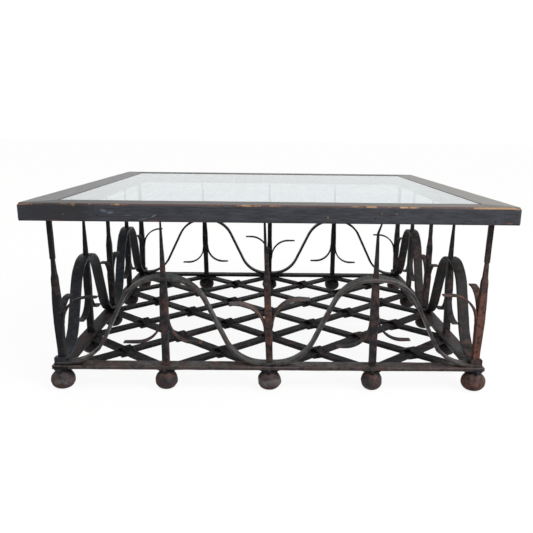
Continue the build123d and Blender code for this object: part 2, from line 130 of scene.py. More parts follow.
world = bpy.data.worlds.new("white_room")
bpy.context.scene.world = world
world.use_nodes = True
room = world.node_tree
room.nodes.clear()
upward = add(room, "SeparateXYZ", [add(room, "TexCoord")["Generated"]])["Z"]
glow = add(room, "MapRange", [upward, 0.0, CEILING_STARTS, WALL_GLOW, CEILING_GLOW])[0]
strength = add(room, "Mix", {0: seen_directly(room), 2: glow, 3: 1.0})[0]
add(room, "OutputWorld", [add(room, "Background", {"Color": WHITE, "Strength": strength})[0]])

floor_mesh = bpy.data.meshes.new("studio_floor")
floor_mesh.from_pydata([(x * FLOOR_HALF, y * FLOOR_HALF, 0) for x, y in
                        ((-1, -1), (1, -1), (1, 1), (-1, 1))], [], [(0, 1, 2, 3)])
floor = bpy.data.objects.new("studio_floor", floor_mesh)
bpy.context.scene.collection.objects.link(floor)
floor_paint, paint = blank_material("pale_floor")[:2]
direct = seen_directly(paint)
floor_colour = add(paint, "Mix", {0: direct, 6: linear(FLOOR_TO_IRON), 7: linear(PALE_FLOOR)},
                   data_type="RGBA")[2]
matt = add(paint, "BsdfDiffuse", {"Color": floor_colour})[0]
white = add(paint, "Emission", {"Color": WHITE, "Strength": 1.0})[0]
glow_share = add(paint, "Math", [direct, FLOOR_GLOW_SHARE], operation="MULTIPLY")[0]
add(paint, "OutputMaterial", [add(paint, "MixShader", [glow_share, matt, white])[0]])
floor_mesh.materials.append(floor_paint)
floor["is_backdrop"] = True

softbox_data = bpy.data.lights.new("softbox", "AREA")
softbox_data.size = SOFTBOX_SIZE
softbox_data.energy = SOFTBOX_WATTS
softbox = bpy.data.objects.new("softbox", softbox_data)
softbox.location = SOFTBOX_PLACE
softbox.rotation_euler = Vector(SOFTBOX_PLACE).to_track_quat("Z", "Y").to_euler()
bpy.context.scene.collection.objects.link(softbox)

# Ball feet: sixteen balls of forged iron under the square of flat bars, upset from round stock and
# dimpled all over by the hammer, a little flat below and above. Each is pinned by the tenon of the
# upright bar above it.
MM = 0.001
HALF_SPAN = 482.5 * MM
BAY = HALF_SPAN / 2
FOOT_HEIGHT = 42 * MM
FOOT_WAIST = 0.48 * FOOT_HEIGHT
FOOT_FLAT_RADIUS = 10 * MM
FOOT_SEAT_RADIUS = 15 * MM
FOOT_RADIUS = 27 * MM
FRONT_ROW_RADII = (26 * MM, 27.5 * MM, 25 * MM)
FRONT_CORNER_RADIUS = 28 * MM
# The waist shares below paint a highlight round each ball, stronger on some balls than others.
FOOT_WAIST_HIGHLIGHT = 0.1
FRONT_ROW_WAIST_HIGHLIGHTS = (0.1, 1.1, -0.1)
LEFT_CORNER_WAIST_HIGHLIGHT = 0.5
CORNER_FEET_SEEDS = {"front": (-1356, -391), "back": (573, 1538)}
FOOT_DIMPLE_SIZES = (15 * MM, 7 * MM)
FOOT_DIMPLE_DEPTH = 2.2 * MM
# Painted highlight shared by every waist, and the rub on the raised dimples.
FOOT_SHINE, BUMP_SHINE = 0.35, 0.9
RINGS_UP_A_FOOT, POINTS_ROUND_A_FOOT = 26, 48
SIDES = ("front", "right", "back", "left")

# The wrought iron itself is scale from the forge, black and slightly glossy where it was waxed,
# with dull brown rust in patches of 30 to 80 mm, most in the damp low down. Blotches in a lighter
# sheen colour are painted sheen. Edges are rubbed grey, and the same grey is painted highlight
# where marks are raised for it.
FORGE_SCALE = "#131215"
# Sheen colours: each piece's lighter blotches take one of these as painted sheen.
GREY_SHEEN = "#3A393F"
WARM_SHEEN = "#4B4744"
BLUE_SHEEN = "#28303A"
DARK_SHEEN = "#37312B"
BROWN_SHEEN = "#50423D"
PURPLE_SHEEN = "#453F49"
OLD_RUST = "#403433"
FRESH_RUST = "#6B473D"
RUBBED_IRON_AND_HIGHLIGHT = "#6A6563"
DAMP_LOW, DAMP_HIGH = 220 * MM, 330 * MM
DRY_LOSS = 0.2
RUST_PATCH_SIZE = 55 * MM
WAX_BLOTCH_SIZE = 14 * MM
SPECK_SIZE = 3 * MM
DENT_SIZE = 11 * MM
DENT_DEPTH = 1.2 * MM
DENT_STIR_SIZE = 13 * MM
DENT_STIR_REACH = 14 * MM
PIT_DEPTH = 0.25 * MM
RUST_LEVEL, RUST_LEVEL_FALL, RUST_FEATHER = 1.18, 0.38, 0.16
FRESH_FROM, FRESH_TO = 0.14, 0.42
FRESH_LEAST, FRESH_GAIN = 0.25, 0.5
PAINTED_SHEEN_BAND, RUB_AND_HIGHLIGHT_BAND = (0.36, 0.62), (0.30, 0.62)
RUB_AND_HIGHLIGHT_LEAST, RUB_AND_HIGHLIGHT_GAIN = 0.35, 0.4
BLACK_MIDDLES, BLACK_SHARE = (0.48, 1.0), 0.9
SCALE_ROUGHNESS, WAX_SMOOTHING, RUST_ROUGHNESS = 0.6, 0.2, 0.82
SCALE_GLOSS, WAX_GLOSS = 0.1, 0.24
DENT_STRENGTH, PIT_STRENGTH = 0.45, 0.5
CELL_PRIMES = (73856093, 19349663, 83492791)
SEED_PRIME, MIXING_PRIME = 2654435761, 1274126177
LOW_32_BITS, LOW_16_BITS = 0xFFFFFFFF, 0xFFFF
COARSE_SHARE = 0.65
IRON_LEVELS = {}


def lumps(points, size, seed):
    """Smooth random values from -1 to 1.

    Each corner of a cubic lattice of the given size has a fixed value, made from its place and
    the seed. A point takes the mean of the eight corners round it, weighted by eased distance.
    """
    cell = np.asarray(points) / size
    low = np.floor(cell).astype(np.int64)
    ease = cell - low
    ease = ease * ease * (3 - 2 * ease)
    total = np.zeros(cell.shape[:-1])
    for corner in np.ndindex(2, 2, 2):
        place = low + np.array(corner)
        mixed = np.bitwise_xor.reduce(place * np.array(CELL_PRIMES), axis=-1)
        mixed = (mixed ^ seed * SEED_PRIME) & LOW_32_BITS
        mixed = (mixed ^ (mixed >> 13)) * MIXING_PRIME & LOW_32_BITS
        mixed = mixed ^ (mixed >> 16)
        value = (mixed & LOW_16_BITS) / (LOW_16_BITS / 2) - 1
        weight = np.where(np.array(corner) == 1, ease, 1 - ease).prod(-1)
        total += weight * value
    return total


def hammered(points, sizes, seed):
    """The hammer's lumps, from -1 to 1: lumps of a coarse size with finer ones laid over them."""
    return (COARSE_SHARE * lumps(points, sizes[0], seed)
            + (1 - COARSE_SHARE) * lumps(points, sizes[1], seed + 1))


def fitted(name, shells, node, material):
    """Make one closed piece in a CAD node's place.

    A shell is rings of points with an edge mark for each point. Neighbouring rings are joined
    by four-sided faces, the first and the last ring are closed by a flat one, and the faces are
    turned to give a positive volume, summed over tetrahedra from the origin.
    """
    points, faces, marks, smooth = [], [], [], []
    start = 0
    for rings, edge in shells:
        count, round_count = rings.shape[:2]
        index = np.arange(count * round_count).reshape(count, round_count)
        beside = np.roll(index, -1, axis=1)
        quads = np.stack([index[:-1], beside[:-1], beside[1:], index[1:]], -1).reshape(-1, 4)
        flat = rings.reshape(-1, 3)
        a, b, c, d = (flat[quads[:, k]] for k in range(4))
        volume = np.einsum("ij,ij->", a, np.cross(b, c)) + np.einsum("ij,ij->", a, np.cross(c, d))
        for ring, sign in ((flat[index[0]], -1), (flat[index[-1]], 1)):
            volume += sign * np.einsum("j,ij->", ring[0], np.cross(ring[:-1], ring[1:]))
        turn = 1 if volume > 0 else -1
        faces += (quads[:, ::turn] + start).tolist()
        faces += [(index[0][::-turn] + start).tolist(), (index[-1][::turn] + start).tolist()]
        smooth += [True] * len(quads) + [False, False]
        points.append(flat)
        marks.append(np.broadcast_to(edge, rings.shape[:2]).reshape(-1))
        start += len(flat)
    mesh = bpy.data.meshes.new(name)
    mesh.from_pydata(np.concatenate(points).tolist(), [], faces)
    mesh.polygons.foreach_set("use_smooth", smooth)
    # The edge mark carries wear, and on some pieces painted highlight.
    mark = mesh.attributes.new("edge_wear_and_highlight", "FLOAT", "POINT")
    mark.data.foreach_set("value", np.concatenate(marks).astype(np.float32))
    mesh.materials.append(material)
    piece = bpy.data.objects.new(name, mesh)
    bpy.context.scene.collection.objects.link(piece)
    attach(piece, "table")
    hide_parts(node)


def wrought_iron(name, rust, sheen, cast):
    """Wrought iron with shares of rust and of sheen from 0 to 1, and the sheen's colour.

    Scale and rust are oxides, so it has no metal shine, only a dull gloss where it was waxed. Its
    blotches past a band take the sheen colour as painted sheen. Rust lies where patches and
    blotches together pass a level that falls as its share rises, and it dies off higher up. The
    middles of the hammer's dents keep their black scale, and marked edges are rubbed grey where the
    specks stand out; where the marks are raised on purpose, that grey is painted highlight. Noise
    lies mostly from 0.3 to 0.7, and each band is two levels on it, or on a sum of two, between
    which a coat comes in.
    """
    material, tree, place = blank_material(name)
    worn = add(tree, "Attribute", attribute_name="edge_wear_and_highlight")["Fac"]
    blotches, specks, clouds = (
        add(tree, "TexNoise", {"Vector": place, "Scale": 1 / size, "Detail": detail, "Roughness": rough})[0]
        for size, detail, rough in ((WAX_BLOTCH_SIZE, 4.0, 0.6), (SPECK_SIZE, 3.0, 0.7),
                                    (RUST_PATCH_SIZE, 5.0, 0.6)))
    height = add(tree, "SeparateXYZ", [place])["Z"]
    dry = add(tree, "MapRange", [height, DAMP_LOW, DAMP_HIGH, 0.0, DRY_LOSS * rust])[0]
    patches = add(tree, "Math", [clouds, blotches], operation="ADD")[0]
    patches = add(tree, "Math", [patches, dry], operation="SUBTRACT")[0]
    start = RUST_LEVEL - RUST_LEVEL_FALL * rust
    rusted = add(tree, "MapRange", [patches, start, start + RUST_FEATHER])[0]
    fresh = add(tree, "MapRange", [patches, start + FRESH_FROM, start + FRESH_TO, 0.0,
                                   FRESH_LEAST + FRESH_GAIN * rust])[0]
    # Blotches past this band take the sheen colour: painted sheen.
    painted_sheen = add(tree, "MapRange", [blotches, *PAINTED_SHEEN_BAND, 0.0, sheen])[0]
    # Marked places turn rubbed grey: real wear on edges, and painted highlight on the balls' waists and the
    # front band's right peak.
    touched = add(tree, "Math", [worn, specks], operation="MULTIPLY")[0]
    rubbed_and_highlight = add(tree, "MapRange", [touched, *RUB_AND_HIGHLIGHT_BAND, 0.0, RUB_AND_HIGHLIGHT_LEAST + RUB_AND_HIGHLIGHT_GAIN * sheen])[0]
    stir = add(tree, "TexNoise", {"Vector": place, "Scale": 1 / DENT_STIR_SIZE})["Color"]
    stirred = add(tree, "VectorMath", [stir, (DENT_STIR_REACH,) * 3, place], operation="MULTIPLY_ADD")[0]
    dents = add(tree, "TexVoronoi", {"Vector": stirred, "Scale": 1 / DENT_SIZE, "Smoothness": 0.6},
                feature="SMOOTH_F1")["Distance"]
    middles = add(tree, "Math", [dents, blotches], operation="ADD")[0]
    hollow = add(tree, "MapRange", [middles, *BLACK_MIDDLES, BLACK_SHARE, 0.0])[0]
    colour = linear(FORGE_SCALE)
    for share, coat in ((painted_sheen, cast), (rusted, OLD_RUST), (fresh, FRESH_RUST), (hollow, FORGE_SCALE),
                        (rubbed_and_highlight, RUBBED_IRON_AND_HIGHLIGHT)):
        colour = add(tree, "Mix", {0: share, 6: colour, 7: linear(coat)}, data_type="RGBA")[2]
    dull = add(tree, "MapRange", [rusted, 0.0, 1.0, SCALE_ROUGHNESS - WAX_SMOOTHING * sheen,
                                  RUST_ROUGHNESS])[0]
    dented = add(tree, "Bump", {"Height": dents, "Strength": DENT_STRENGTH, "Distance": DENT_DEPTH})[0]
    pitted = add(tree, "Bump", {"Height": specks, "Strength": PIT_STRENGTH, "Distance": PIT_DEPTH,
                                "Normal": dented})[0]
    surface = add(tree, "BsdfPrincipled", {"Base Color": colour, "Roughness": dull, "Normal": pitted,
                                           "Specular IOR Level": SCALE_GLOSS + WAX_GLOSS * sheen})[0]
    add(tree, "OutputMaterial", [surface])
    return material


def iron(rust, sheen, cast=GREY_SHEEN):
    """The wrought iron for given shares and sheen colour, made once."""
    key = (rust, sheen, cast)
    if key not in IRON_LEVELS:
        IRON_LEVELS[key] = wrought_iron(f"wrought_iron_{len(IRON_LEVELS) + 1}", rust, sheen, cast)
    return IRON_LEVELS[key]


def ball(x, y, waist_radius, seed, highlight):
    """Rings up one ball foot.

    The radius at a height is that of two arcs that meet upright at the waist, each chosen to end
    on its own flat, and every point is moved in or out by smooth lumps. What stands out is rubbed
    brighter, and a band round the waist is painted highlight that fades out towards the top and the
    bottom.
    """
    height = FOOT_HEIGHT * (1 - np.cos(np.linspace(0, np.pi, RINGS_UP_A_FOOT))) / 2
    fall = np.where(height < FOOT_WAIST, FOOT_WAIST, FOOT_HEIGHT - FOOT_WAIST)
    flat = np.where(height < FOOT_WAIST, FOOT_FLAT_RADIUS, FOOT_SEAT_RADIUS)
    pull = waist_radius - flat
    arc = (pull ** 2 + fall ** 2) / (2 * pull)
    radius = waist_radius - arc + np.sqrt(arc ** 2 - (height - FOOT_WAIST) ** 2)
    turn = np.linspace(0, 2 * np.pi, POINTS_ROUND_A_FOOT, endpoint=False)
    outward = np.stack([np.cos(turn), np.sin(turn), 0 * turn], -1)
    rings = np.array([x, y, 0]) + radius[:, None, None] * outward
    rings[..., 2] += height[:, None]
    push = hammered(rings, FOOT_DIMPLE_SIZES, seed)
    bulge = np.sin(np.pi * height / FOOT_HEIGHT)[:, None]
    rings = rings + outward * (push * FOOT_DIMPLE_DEPTH * bulge)[..., None]
    return rings, (FOOT_SHINE + highlight + BUMP_SHINE * push) * bulge ** 3


def quarter_turn(points, quarters):
    """Points turned about the table's middle by quarter turns."""
    angle = quarters * np.pi / 2
    spin = np.array([[np.cos(angle), np.sin(angle), 0], [-np.sin(angle), np.cos(angle), 0], [0, 0, 1]])
    return points @ spin


FRONT_FEET_IRON = iron(0.8, 0.8, PURPLE_SHEEN)
OTHER_FEET_IRON = iron(0.5, 0.3)
RUSTY_FOOT_IRON = iron(1.05, 0.8, PURPLE_SHEEN)

for quarter, side in enumerate(SIDES):
    places = [quarter_turn(np.array([along, -HALF_SPAN, 0]), quarter) for along in (-BAY, 0, BAY)]
    radii = FRONT_ROW_RADII if side == "front" else (FOOT_RADIUS,) * 3
    highlights = FRONT_ROW_WAIST_HIGHLIGHTS if side == "front" else (FOOT_WAIST_HIGHLIGHT,) * 3
    shells = [ball(place[0], place[1], radius, 10 * quarter + k, highlight)
              for k, (place, radius, highlight) in enumerate(zip(places, radii, highlights))]
    fitted(f"forged_balls_{side}", shells, f"ball_feet_{side}",
           FRONT_FEET_IRON if side == "front" else OTHER_FEET_IRON)
for end, y, radius in (("front", -HALF_SPAN, FRONT_CORNER_RADIUS), ("back", HALF_SPAN, FOOT_RADIUS)):
    for hand, x, highlight, seed in zip(("left", "right"), (-HALF_SPAN, HALF_SPAN),
                                     (LEFT_CORNER_WAIST_HIGHLIGHT, FOOT_WAIST_HIGHLIGHT), CORNER_FEET_SEEDS[end]):
        fitted(f"forged_ball_{end}_{hand}", [ball(x, y, radius, seed, highlight)],
               f"ball_foot_{end}_{hand}",
               RUSTY_FOOT_IRON if (end, hand) == ("front", "right") else FRONT_FEET_IRON)

# Lattice shelf: flat iron bars a good inch wide on both diagonals. The bars of one diagonal were
# slit and opened into roofed eyes, the plain bars pass through them, and all ends are lapped and
# pinned on the feet.
LATTICE_WIDTH = 28 * MM
LATTICE_THICKNESS = 9 * MM
LATTICE_MIDDLE = FOOT_HEIGHT + LATTICE_THICKNESS / 2
LATTICE_OVERHANG = 16 * MM
EYE_GAP = 0.3 * MM
EYE_STRAP = 4.8 * MM
EYE_FOOT = 12.5 * MM
EYE_RIDGE = 3 * MM
LATTICE_CORNER = 1.6 * MM
LATTICE_WANDER, WANDER_LENGTH = 0.5 * MM, 150 * MM
FLAT_BAR_HAMMER = 0.35 * MM
HAMMER_MARK_SIZES = (16 * MM, 6 * MM)
EDGE_RUB_SIZE = 30 * MM
RING_SPACING = 4 * MM
END_ROUND = 1.5 * MM
END_STEPS = (0, 0.12, 0.4, 1.0)
CORNER_MARKS = (0.75, 1.0, 1.0, 0.75)
STEADY_MARK = 0.75
DIAGONAL = math.sqrt(2)
UPWARD = np.array([0, 0, 1.0])


def bar_outline(across, down, sharp_below=False):
    """Loop round a bar's section.

    Quarter circles at the corners with points on the flats between. Each point has its share of
    the flat half width and half height, its direction from there, the direction that lumps push
    it in, and an edge mark that is 1 on the corners and fades along the flats.
    """
    share, reach, push, edge = [], [], [], []
    corners = ((1, 1), (-1, 1), (-1, -1), (1, -1))
    for k, corner in enumerate(corners):
        follow = corners[(k + 1) % 4]
        if sharp_below and corner[1] < 0:
            share.append([corner])
            reach.append([corner])
            push.append([(corner[0], 0)])
            edge.append([0.0])
        else:
            turn = np.pi / 2 * (k + np.linspace(0, 1, len(CORNER_MARKS)))
            circle = np.stack([np.cos(turn), np.sin(turn)], -1)
            share.append(np.tile(corner, (len(CORNER_MARKS), 1)))
            reach.append(circle)
            push.append(circle)
            edge.append(CORNER_MARKS)
        steps = across if k % 2 == 0 else down
        part = (np.arange(steps) + 0.6) / (steps + 0.2)
        share.append(np.outer(1 - part, corner) + np.outer(part, follow))
        out = np.array([0, corner[1]]) if k % 2 == 0 else np.array([corner[0], 0])
        reach.append(np.tile(out, (steps, 1)))
        hidden = sharp_below and k == 2
        push.append(np.tile(out * (0 if hidden else 1), (steps, 1)))
        edge.append(0 * part)
    return tuple(np.concatenate([np.asarray(x, float) for x in parts])
                 for parts in (share, reach, push, edge))


def carried(outline, middle, side, up, half_width, low, high, corner, hammer, seed):
    """Rings of a bar: its outline carried along a path.

    At each station the point is the middle plus its share of the flats, plus the corner radius
    in its own direction, and is then pushed along that direction by smooth lumps.
    """
    share, reach, push, edge = outline
    half_width, low, high = (np.broadcast_to(v, len(middle))[:, None] for v in (half_width, low, high))
    half_height = (high - low) / 2
    radius = np.minimum(corner, np.minimum(half_width, half_height) * 0.95)
    across = share[:, 0] * (half_width - radius) + reach[:, 0] * radius
    above = (high + low) / 2 + share[:, 1] * (half_height - radius) + reach[:, 1] * radius
    side, up = (np.broadcast_to(v, middle.shape)[:, None, :] for v in (side, up))
    rings = middle[:, None, :] + side * across[..., None] + up * above[..., None]
    amount = hammered(rings, HAMMER_MARK_SIZES, seed)
    outward = side * push[:, 0, None] + up * push[:, 1, None]
    marks = edge * (STEADY_MARK + (1 - STEADY_MARK) * lumps(rings, EDGE_RUB_SIZE, seed + 2))
    return rings + outward * (hammer * amount)[..., None], marks


def end_easing(along, length, radius):
    """How far a bar draws in near its cut ends: a quarter circle of the given radius."""
    inward = np.clip(1 - np.minimum(along, length - along) / radius, 0, 1)
    return radius * (1 - np.sqrt(1 - inward ** 2))


def stations(length, spacing, radius, more=()):
    """Distances along a bar: evenly spaced, close together at its eased ends, and any others."""
    ends = radius * np.array(END_STEPS)
    even = np.linspace(0, length, int(length / spacing) + 1)
    return np.unique(np.concatenate([even, ends, length - ends, np.asarray(more, float)]).round(7))


FLAT_BAR = bar_outline(7, 2)
UPPER_HALF = bar_outline(7, 2, sharp_below=True)
# Two rings a hair apart make a sudden step in a bar's section.
HAIR = 0.01 * MM
half_bar = LATTICE_THICKNESS / 2
eye_reach = LATTICE_WIDTH / 2 + EYE_GAP
eye_slope = (EYE_GAP + EYE_STRAP) / EYE_FOOT


def lattice_bar(kind, number, turn):
    """Shells of one lattice bar.

    A plain bar is one flat bar. An eyed bar is an upper and a lower strap that meet on its middle
    plane: the outside rises to a ridge over each crossing and the inside is the hole's own roof.
    """
    offset = number - 4
    span = (4 - abs(offset)) * BAY * DIAGONAL
    half = span / 2
    step = BAY / DIAGONAL
    along = np.array([math.cos(turn), math.sin(turn), 0])
    side = np.array([-along[1], along[0], 0])
    crossings = (np.arange(round(span / step) - 1) + 1) * step - half
    lap = half - LATTICE_WIDTH / 2 - EYE_GAP
    whole = span + 2 * LATTICE_OVERHANG
    steps = ([crossings + reach for reach in (-eye_reach, -eye_reach + HAIR, eye_reach - HAIR, eye_reach)]
             + [[-lap - HAIR, -lap, lap, lap + HAIR]])
    here = stations(whole, RING_SPACING, END_ROUND, np.concatenate(steps) + whole / 2) - whole / 2
    eased = end_easing(here + whole / 2, whole, END_ROUND)
    middle = side * (offset * step) + here[:, None] * along
    middle = middle + side * (LATTICE_WANDER * lumps(middle, WANDER_LENGTH, number))[:, None]
    middle[:, 2] = LATTICE_MIDDLE
    width = LATTICE_WIDTH / 2 - eased
    lapped = (np.abs(here) > lap + HAIR / 2) & (offset != 0)
    if kind == "plain":
        low = np.where(lapped, 0, -half_bar + eased)
        return [carried(FLAT_BAR, middle, side, UPWARD, width, low, half_bar - eased, LATTICE_CORNER,
                        FLAT_BAR_HAMMER, number)]
    away = np.abs(here[:, None] - crossings).min(axis=1)
    rise = np.clip(eye_reach + EYE_FOOT - np.maximum(away, EYE_RIDGE / 2), 0, None) * eye_slope
    inside = away < eye_reach - HAIR / 2
    roof = (half_bar + EYE_GAP
            + eye_slope * np.clip(eye_reach - np.maximum(away, EYE_RIDGE / 2), 0, None))
    hollow = np.where(inside, roof, 0)
    outer = half_bar + rise - eased
    shells = []
    for flip, keep in ((1.0, ~lapped), (-1.0, np.full(len(here), True))):
        shells.append(carried(UPPER_HALF, middle[keep], side, UPWARD * flip, width[keep], hollow[keep],
                              outer[keep], LATTICE_CORNER, FLAT_BAR_HAMMER, number))
    return shells


LATTICE_IRON = iron(0.35, 0.15)

for kind, turn in (("plain", math.pi / 4), ("eyed", -math.pi / 4)):
    for number in range(1, 8):
        node = f"lattice_bar_{kind}_{number}"
        fitted(f"forged_{node}", lattice_bar(kind, number, turn), node, LATTICE_IRON)

# Base rails: four flat bars on the lattice ends, half lapped at the corners, with a tenon from
# each upright bar driven through them. Their edges are rubbed grey, and their grey and brown
# blotches are painted sheen, most on the front rail.
RAIL_WIDTH = 38 * MM
RAIL_LOW = FOOT_HEIGHT + LATTICE_THICKNESS
RAIL_HIGH = RAIL_LOW + 9 * MM
RAIL_LAP_GAP = 0.3 * MM
RAIL_CORNER = 1.8 * MM
RAIL_HAMMER = 0.4 * MM
RAIL_SEED = 40
WIDE_BAR = bar_outline(9, 2)
RAIL_IRON = {"front": iron(0.6, 1.0, BROWN_SHEEN), "right": iron(0.55, 0.4, WARM_SHEEN),
             "back": iron(0.35, 0.1), "left": iron(0.35, 0.1)}

for quarter, side in enumerate(SIDES):
    end = HALF_SPAN + RAIL_WIDTH / 2
    lap = HALF_SPAN - RAIL_WIDTH / 2 - RAIL_LAP_GAP
    steps = np.array([-lap - HAIR, -lap, lap, lap + HAIR]) + end
    here = stations(2 * end, RING_SPACING, END_ROUND, steps) - end
    eased = end_easing(here + end, 2 * end, END_ROUND)
    middle = quarter_turn(np.stack([here, 0 * here - HALF_SPAN, 0 * here], -1), quarter)
    outward = quarter_turn(np.array([0, -1.0, 0]), quarter)
    lapped = np.abs(here) > lap + HAIR / 2
    lap_height = (RAIL_LOW + RAIL_HIGH) / 2
    runs_over = side in ("front", "back")
    low = np.where(lapped & runs_over, lap_height, RAIL_LOW) + eased
    high = np.where(lapped & (not runs_over), lap_height, RAIL_HIGH) - eased
    shell = carried(WIDE_BAR, middle, outward, UPWARD, RAIL_WIDTH / 2 - eased, low, high,
                    RAIL_CORNER, RAIL_HAMMER, RAIL_SEED + quarter)
    fitted(f"forged_rail_{side}", [shell], f"base_rail_{side}", RAIL_IRON[side])

# Wavy bands: one flat bar a side, bent hot over a former into two waves. It lies on the base rail
# in its valleys, and a spear bar passes through each peak.
BAND_WIDTH = 27 * MM
BAND_THICKNESS = 7 * MM
BAND_RISE = 203 * MM
BAND_SLOPE = math.radians(64.1)
BAND_VALLEY_LAND = 14 * MM
BAND_PEAK_LAND = 8 * MM
BAND_TAIL = 14 * MM
BAND_SPACING = 3 * MM
BAND_END_ROUND = 1.2 * MM
BAND_CORNER = 1.4 * MM
BAND_SEED = 60
BAND_IRON = {"front": iron(0.4, 0.9, WARM_SHEEN), "right": iron(0.5, 0.35, DARK_SHEEN),
             "back": iron(0.3, 0.4), "left": iron(0.15, 0.6, BLUE_SHEEN)}
END_UPSET = 4 * MM
PEAK_SWELL = 2.4 * MM
PEAK_THICKENING = 0.8 * MM
PEAK_SWELL_REACH = 60 * MM
PEAK_SWELL_LOW = 150 * MM
# Painted highlight on the front band's right peak.
RIGHT_PEAK_HIGHLIGHT = 0.9
FRONT_PEAK_TILT = math.radians(8)


def wave(corner_level):
    """Distance along a side and height of a band's middle line, evenly spaced.

    From a valley up to a peak it is an arc, a straight flank and an equal arc, whose radius
    follows from the rise, the run and the flank's slope. The other flanks are mirror images.
    """
    level = RAIL_HIGH + BAND_THICKNESS / 2
    runs = []
    for start, low, peak in ((HALF_SPAN - BAND_VALLEY_LAND, corner_level, BAY + BAND_PEAK_LAND),
                             (BAND_VALLEY_LAND, level, BAY - BAND_PEAK_LAND)):
        run = abs(peak - start)
        rise = level + BAND_RISE - low
        radius = ((run * math.sin(BAND_SLOPE) - rise * math.cos(BAND_SLOPE))
                  / (2 * (1 - math.cos(BAND_SLOPE))))
        turn = np.linspace(0, BAND_SLOPE, 40)
        valley = np.stack([radius * np.sin(turn), radius * (1 - np.cos(turn))], -1)
        crest = np.array([run, rise]) - valley[::-1]
        flank = np.concatenate([valley, crest])
        toward = np.sign(peak - start)
        runs.append(np.stack([start + toward * flank[:, 0], low + flank[:, 1]], -1))
    outer, inner = runs
    right = np.concatenate([inner, outer[::-1], [[HALF_SPAN + BAND_TAIL, corner_level]]])
    left = right[::-1] * np.array([-1, 1])
    whole = np.concatenate([left, right])
    length = np.concatenate([[0], np.cumsum(np.hypot(*np.diff(whole, axis=0).T))])
    even = stations(length[-1], BAND_SPACING, BAND_END_ROUND)
    return even, length[-1], np.stack([np.interp(even, length, whole[:, k]) for k in (0, 1)], -1)


for quarter, side in enumerate(SIDES):
    under = side in ("front", "back")
    corner_level = RAIL_HIGH + BAND_THICKNESS * (0.5 if under else 1.5)
    even, length, line = wave(corner_level)
    eased = end_easing(even, length, BAND_END_ROUND)
    middle = np.stack([line[:, 0], 0 * line[:, 0] - HALF_SPAN, line[:, 1]], -1)
    ahead = np.gradient(middle, axis=0)
    ahead /= np.linalg.norm(ahead, axis=1, keepdims=True)
    square = np.stack([-ahead[:, 2], 0 * ahead[:, 0], ahead[:, 0]], -1)
    middle, square = quarter_turn(middle, quarter), quarter_turn(square, quarter)
    outward = quarter_turn(np.array([0, -1.0, 0]), quarter)
    swell = np.exp(-((np.abs(line[:, 0]) - BAY) / PEAK_SWELL_REACH) ** 2) * (line[:, 1] > PEAK_SWELL_LOW)
    tilt = (FRONT_PEAK_TILT if side == "front" else 0.0) * swell[:, None]
    leaned = outward * np.cos(tilt) - square * np.sin(tilt)
    square = square * np.cos(tilt) + outward * np.sin(tilt)
    half_thickness = BAND_THICKNESS / 2 + PEAK_THICKENING / 2 * swell - eased
    upset = (0.0 if under else END_UPSET) * np.clip((np.abs(line[:, 0]) - HALF_SPAN) / BAND_TAIL + 1, 0, 1)
    half_width = BAND_WIDTH / 2 + PEAK_SWELL / 2 * swell - eased
    rings, marks = carried(FLAT_BAR, middle, leaned, square, half_width, -half_thickness,
                           half_thickness + upset, BAND_CORNER, FLAT_BAR_HAMMER, BAND_SEED + quarter)
    # The front band's right peak takes extra marks as painted highlight, lighter on the side the light comes
    # from.
    if side == "front":
        marks = marks + RIGHT_PEAK_HIGHLIGHT * (swell * (line[:, 0] > 0))[:, None]
    fitted(f"forged_band_{side}", [(rings, marks)], f"wave_band_{side}", BAND_IRON[side])

# Upright bars: square bars drawn to a taper, two strips split from each and curled out as barbs.
# Corner and middle bars end in a rod under the timber, spear bars in a point through the band.
# Each was bent by hand, so some have a lean, bow, tip shift or reach of their own, in millimetres.
# Leans and bows are to the right, a bow as heights and shifts. Pairs are for a bar's two barbs, and
# a width goes with a share of the bar's height.
TIMBER_LOW = 398 * MM
PEAK_LOW = RAIL_HIGH + BAND_RISE
LEAN = {
    "mid_post_front": -12, "corner_post_front_left": -5, "corner_post_front_right": 7,
    "spear_post_front_left": -2, "spear_post_front_right": 7, "spear_post_back_left": -10,
}
TIP_SHIFT = {
    "mid_post_front": (-8, 4), "mid_post_back": (-11, -25), "corner_post_front_left": (5, -12),
    "corner_post_front_right": (16, 24), "corner_post_back_left": (15, 0), "spear_post_front_right": (-8, 10),
    "spear_post_back_left": (-10, -5), "spear_post_back_right": (0, -6),
}
EXTRA_REACH = {
    "mid_post_front": (0, 4), "mid_post_back": (0, 5), "corner_post_front_right": (0, -12),
    "corner_post_back_left": (-12, 0), "spear_post_front_left": (10, 0),
}
BOW = {
    "corner_post_front_left": ((74, 2), (398, 1)), "spear_post_back_left": ((60, 0), (270, -4), (398, 0)),
    "spear_post_front_right": ((60, 0), (270, -2), (370, -8), (398, 0)),
    "spear_post_right_front": ((60, 0), (270, -6), (398, -3)),
}
SPEAR_WIDTHS = ((0, 0.32, 0.61, 0.75, 1), (16.5, 16, 18.5, 18, 14))
MID_WIDTHS = ((0, 0.12, 0.34, 0.48, 0.69, 0.81, 1), (16, 16, 19, 15.5, 16, 10.5, 9.5))
CORNER_WIDTHS = ((0, 0.1, 0.37, 0.58, 0.72, 0.81, 0.86, 1), (16, 16, 19, 18, 15, 14.5, 11, 8.5))
SPEAR_POINT_WIDTHS = (12 * MM, 3.6 * MM)
SPEAR_LET_IN = 6 * MM
MID_ROD_LENGTH = 63 * MM
MID_ROD_WIDTHS = (6.5 * MM, 5 * MM)
MID_ROD_SHIFT = -1.5 * MM
MID_LET_IN = 15 * MM
CORNER_ROD_LENGTH = 92 * MM
CORNER_ROD_WIDTH = 11 * MM
CORNER_LET_IN = 18 * MM
POST_SPACING = 3 * MM
POST_END_ROUND = 1 * MM
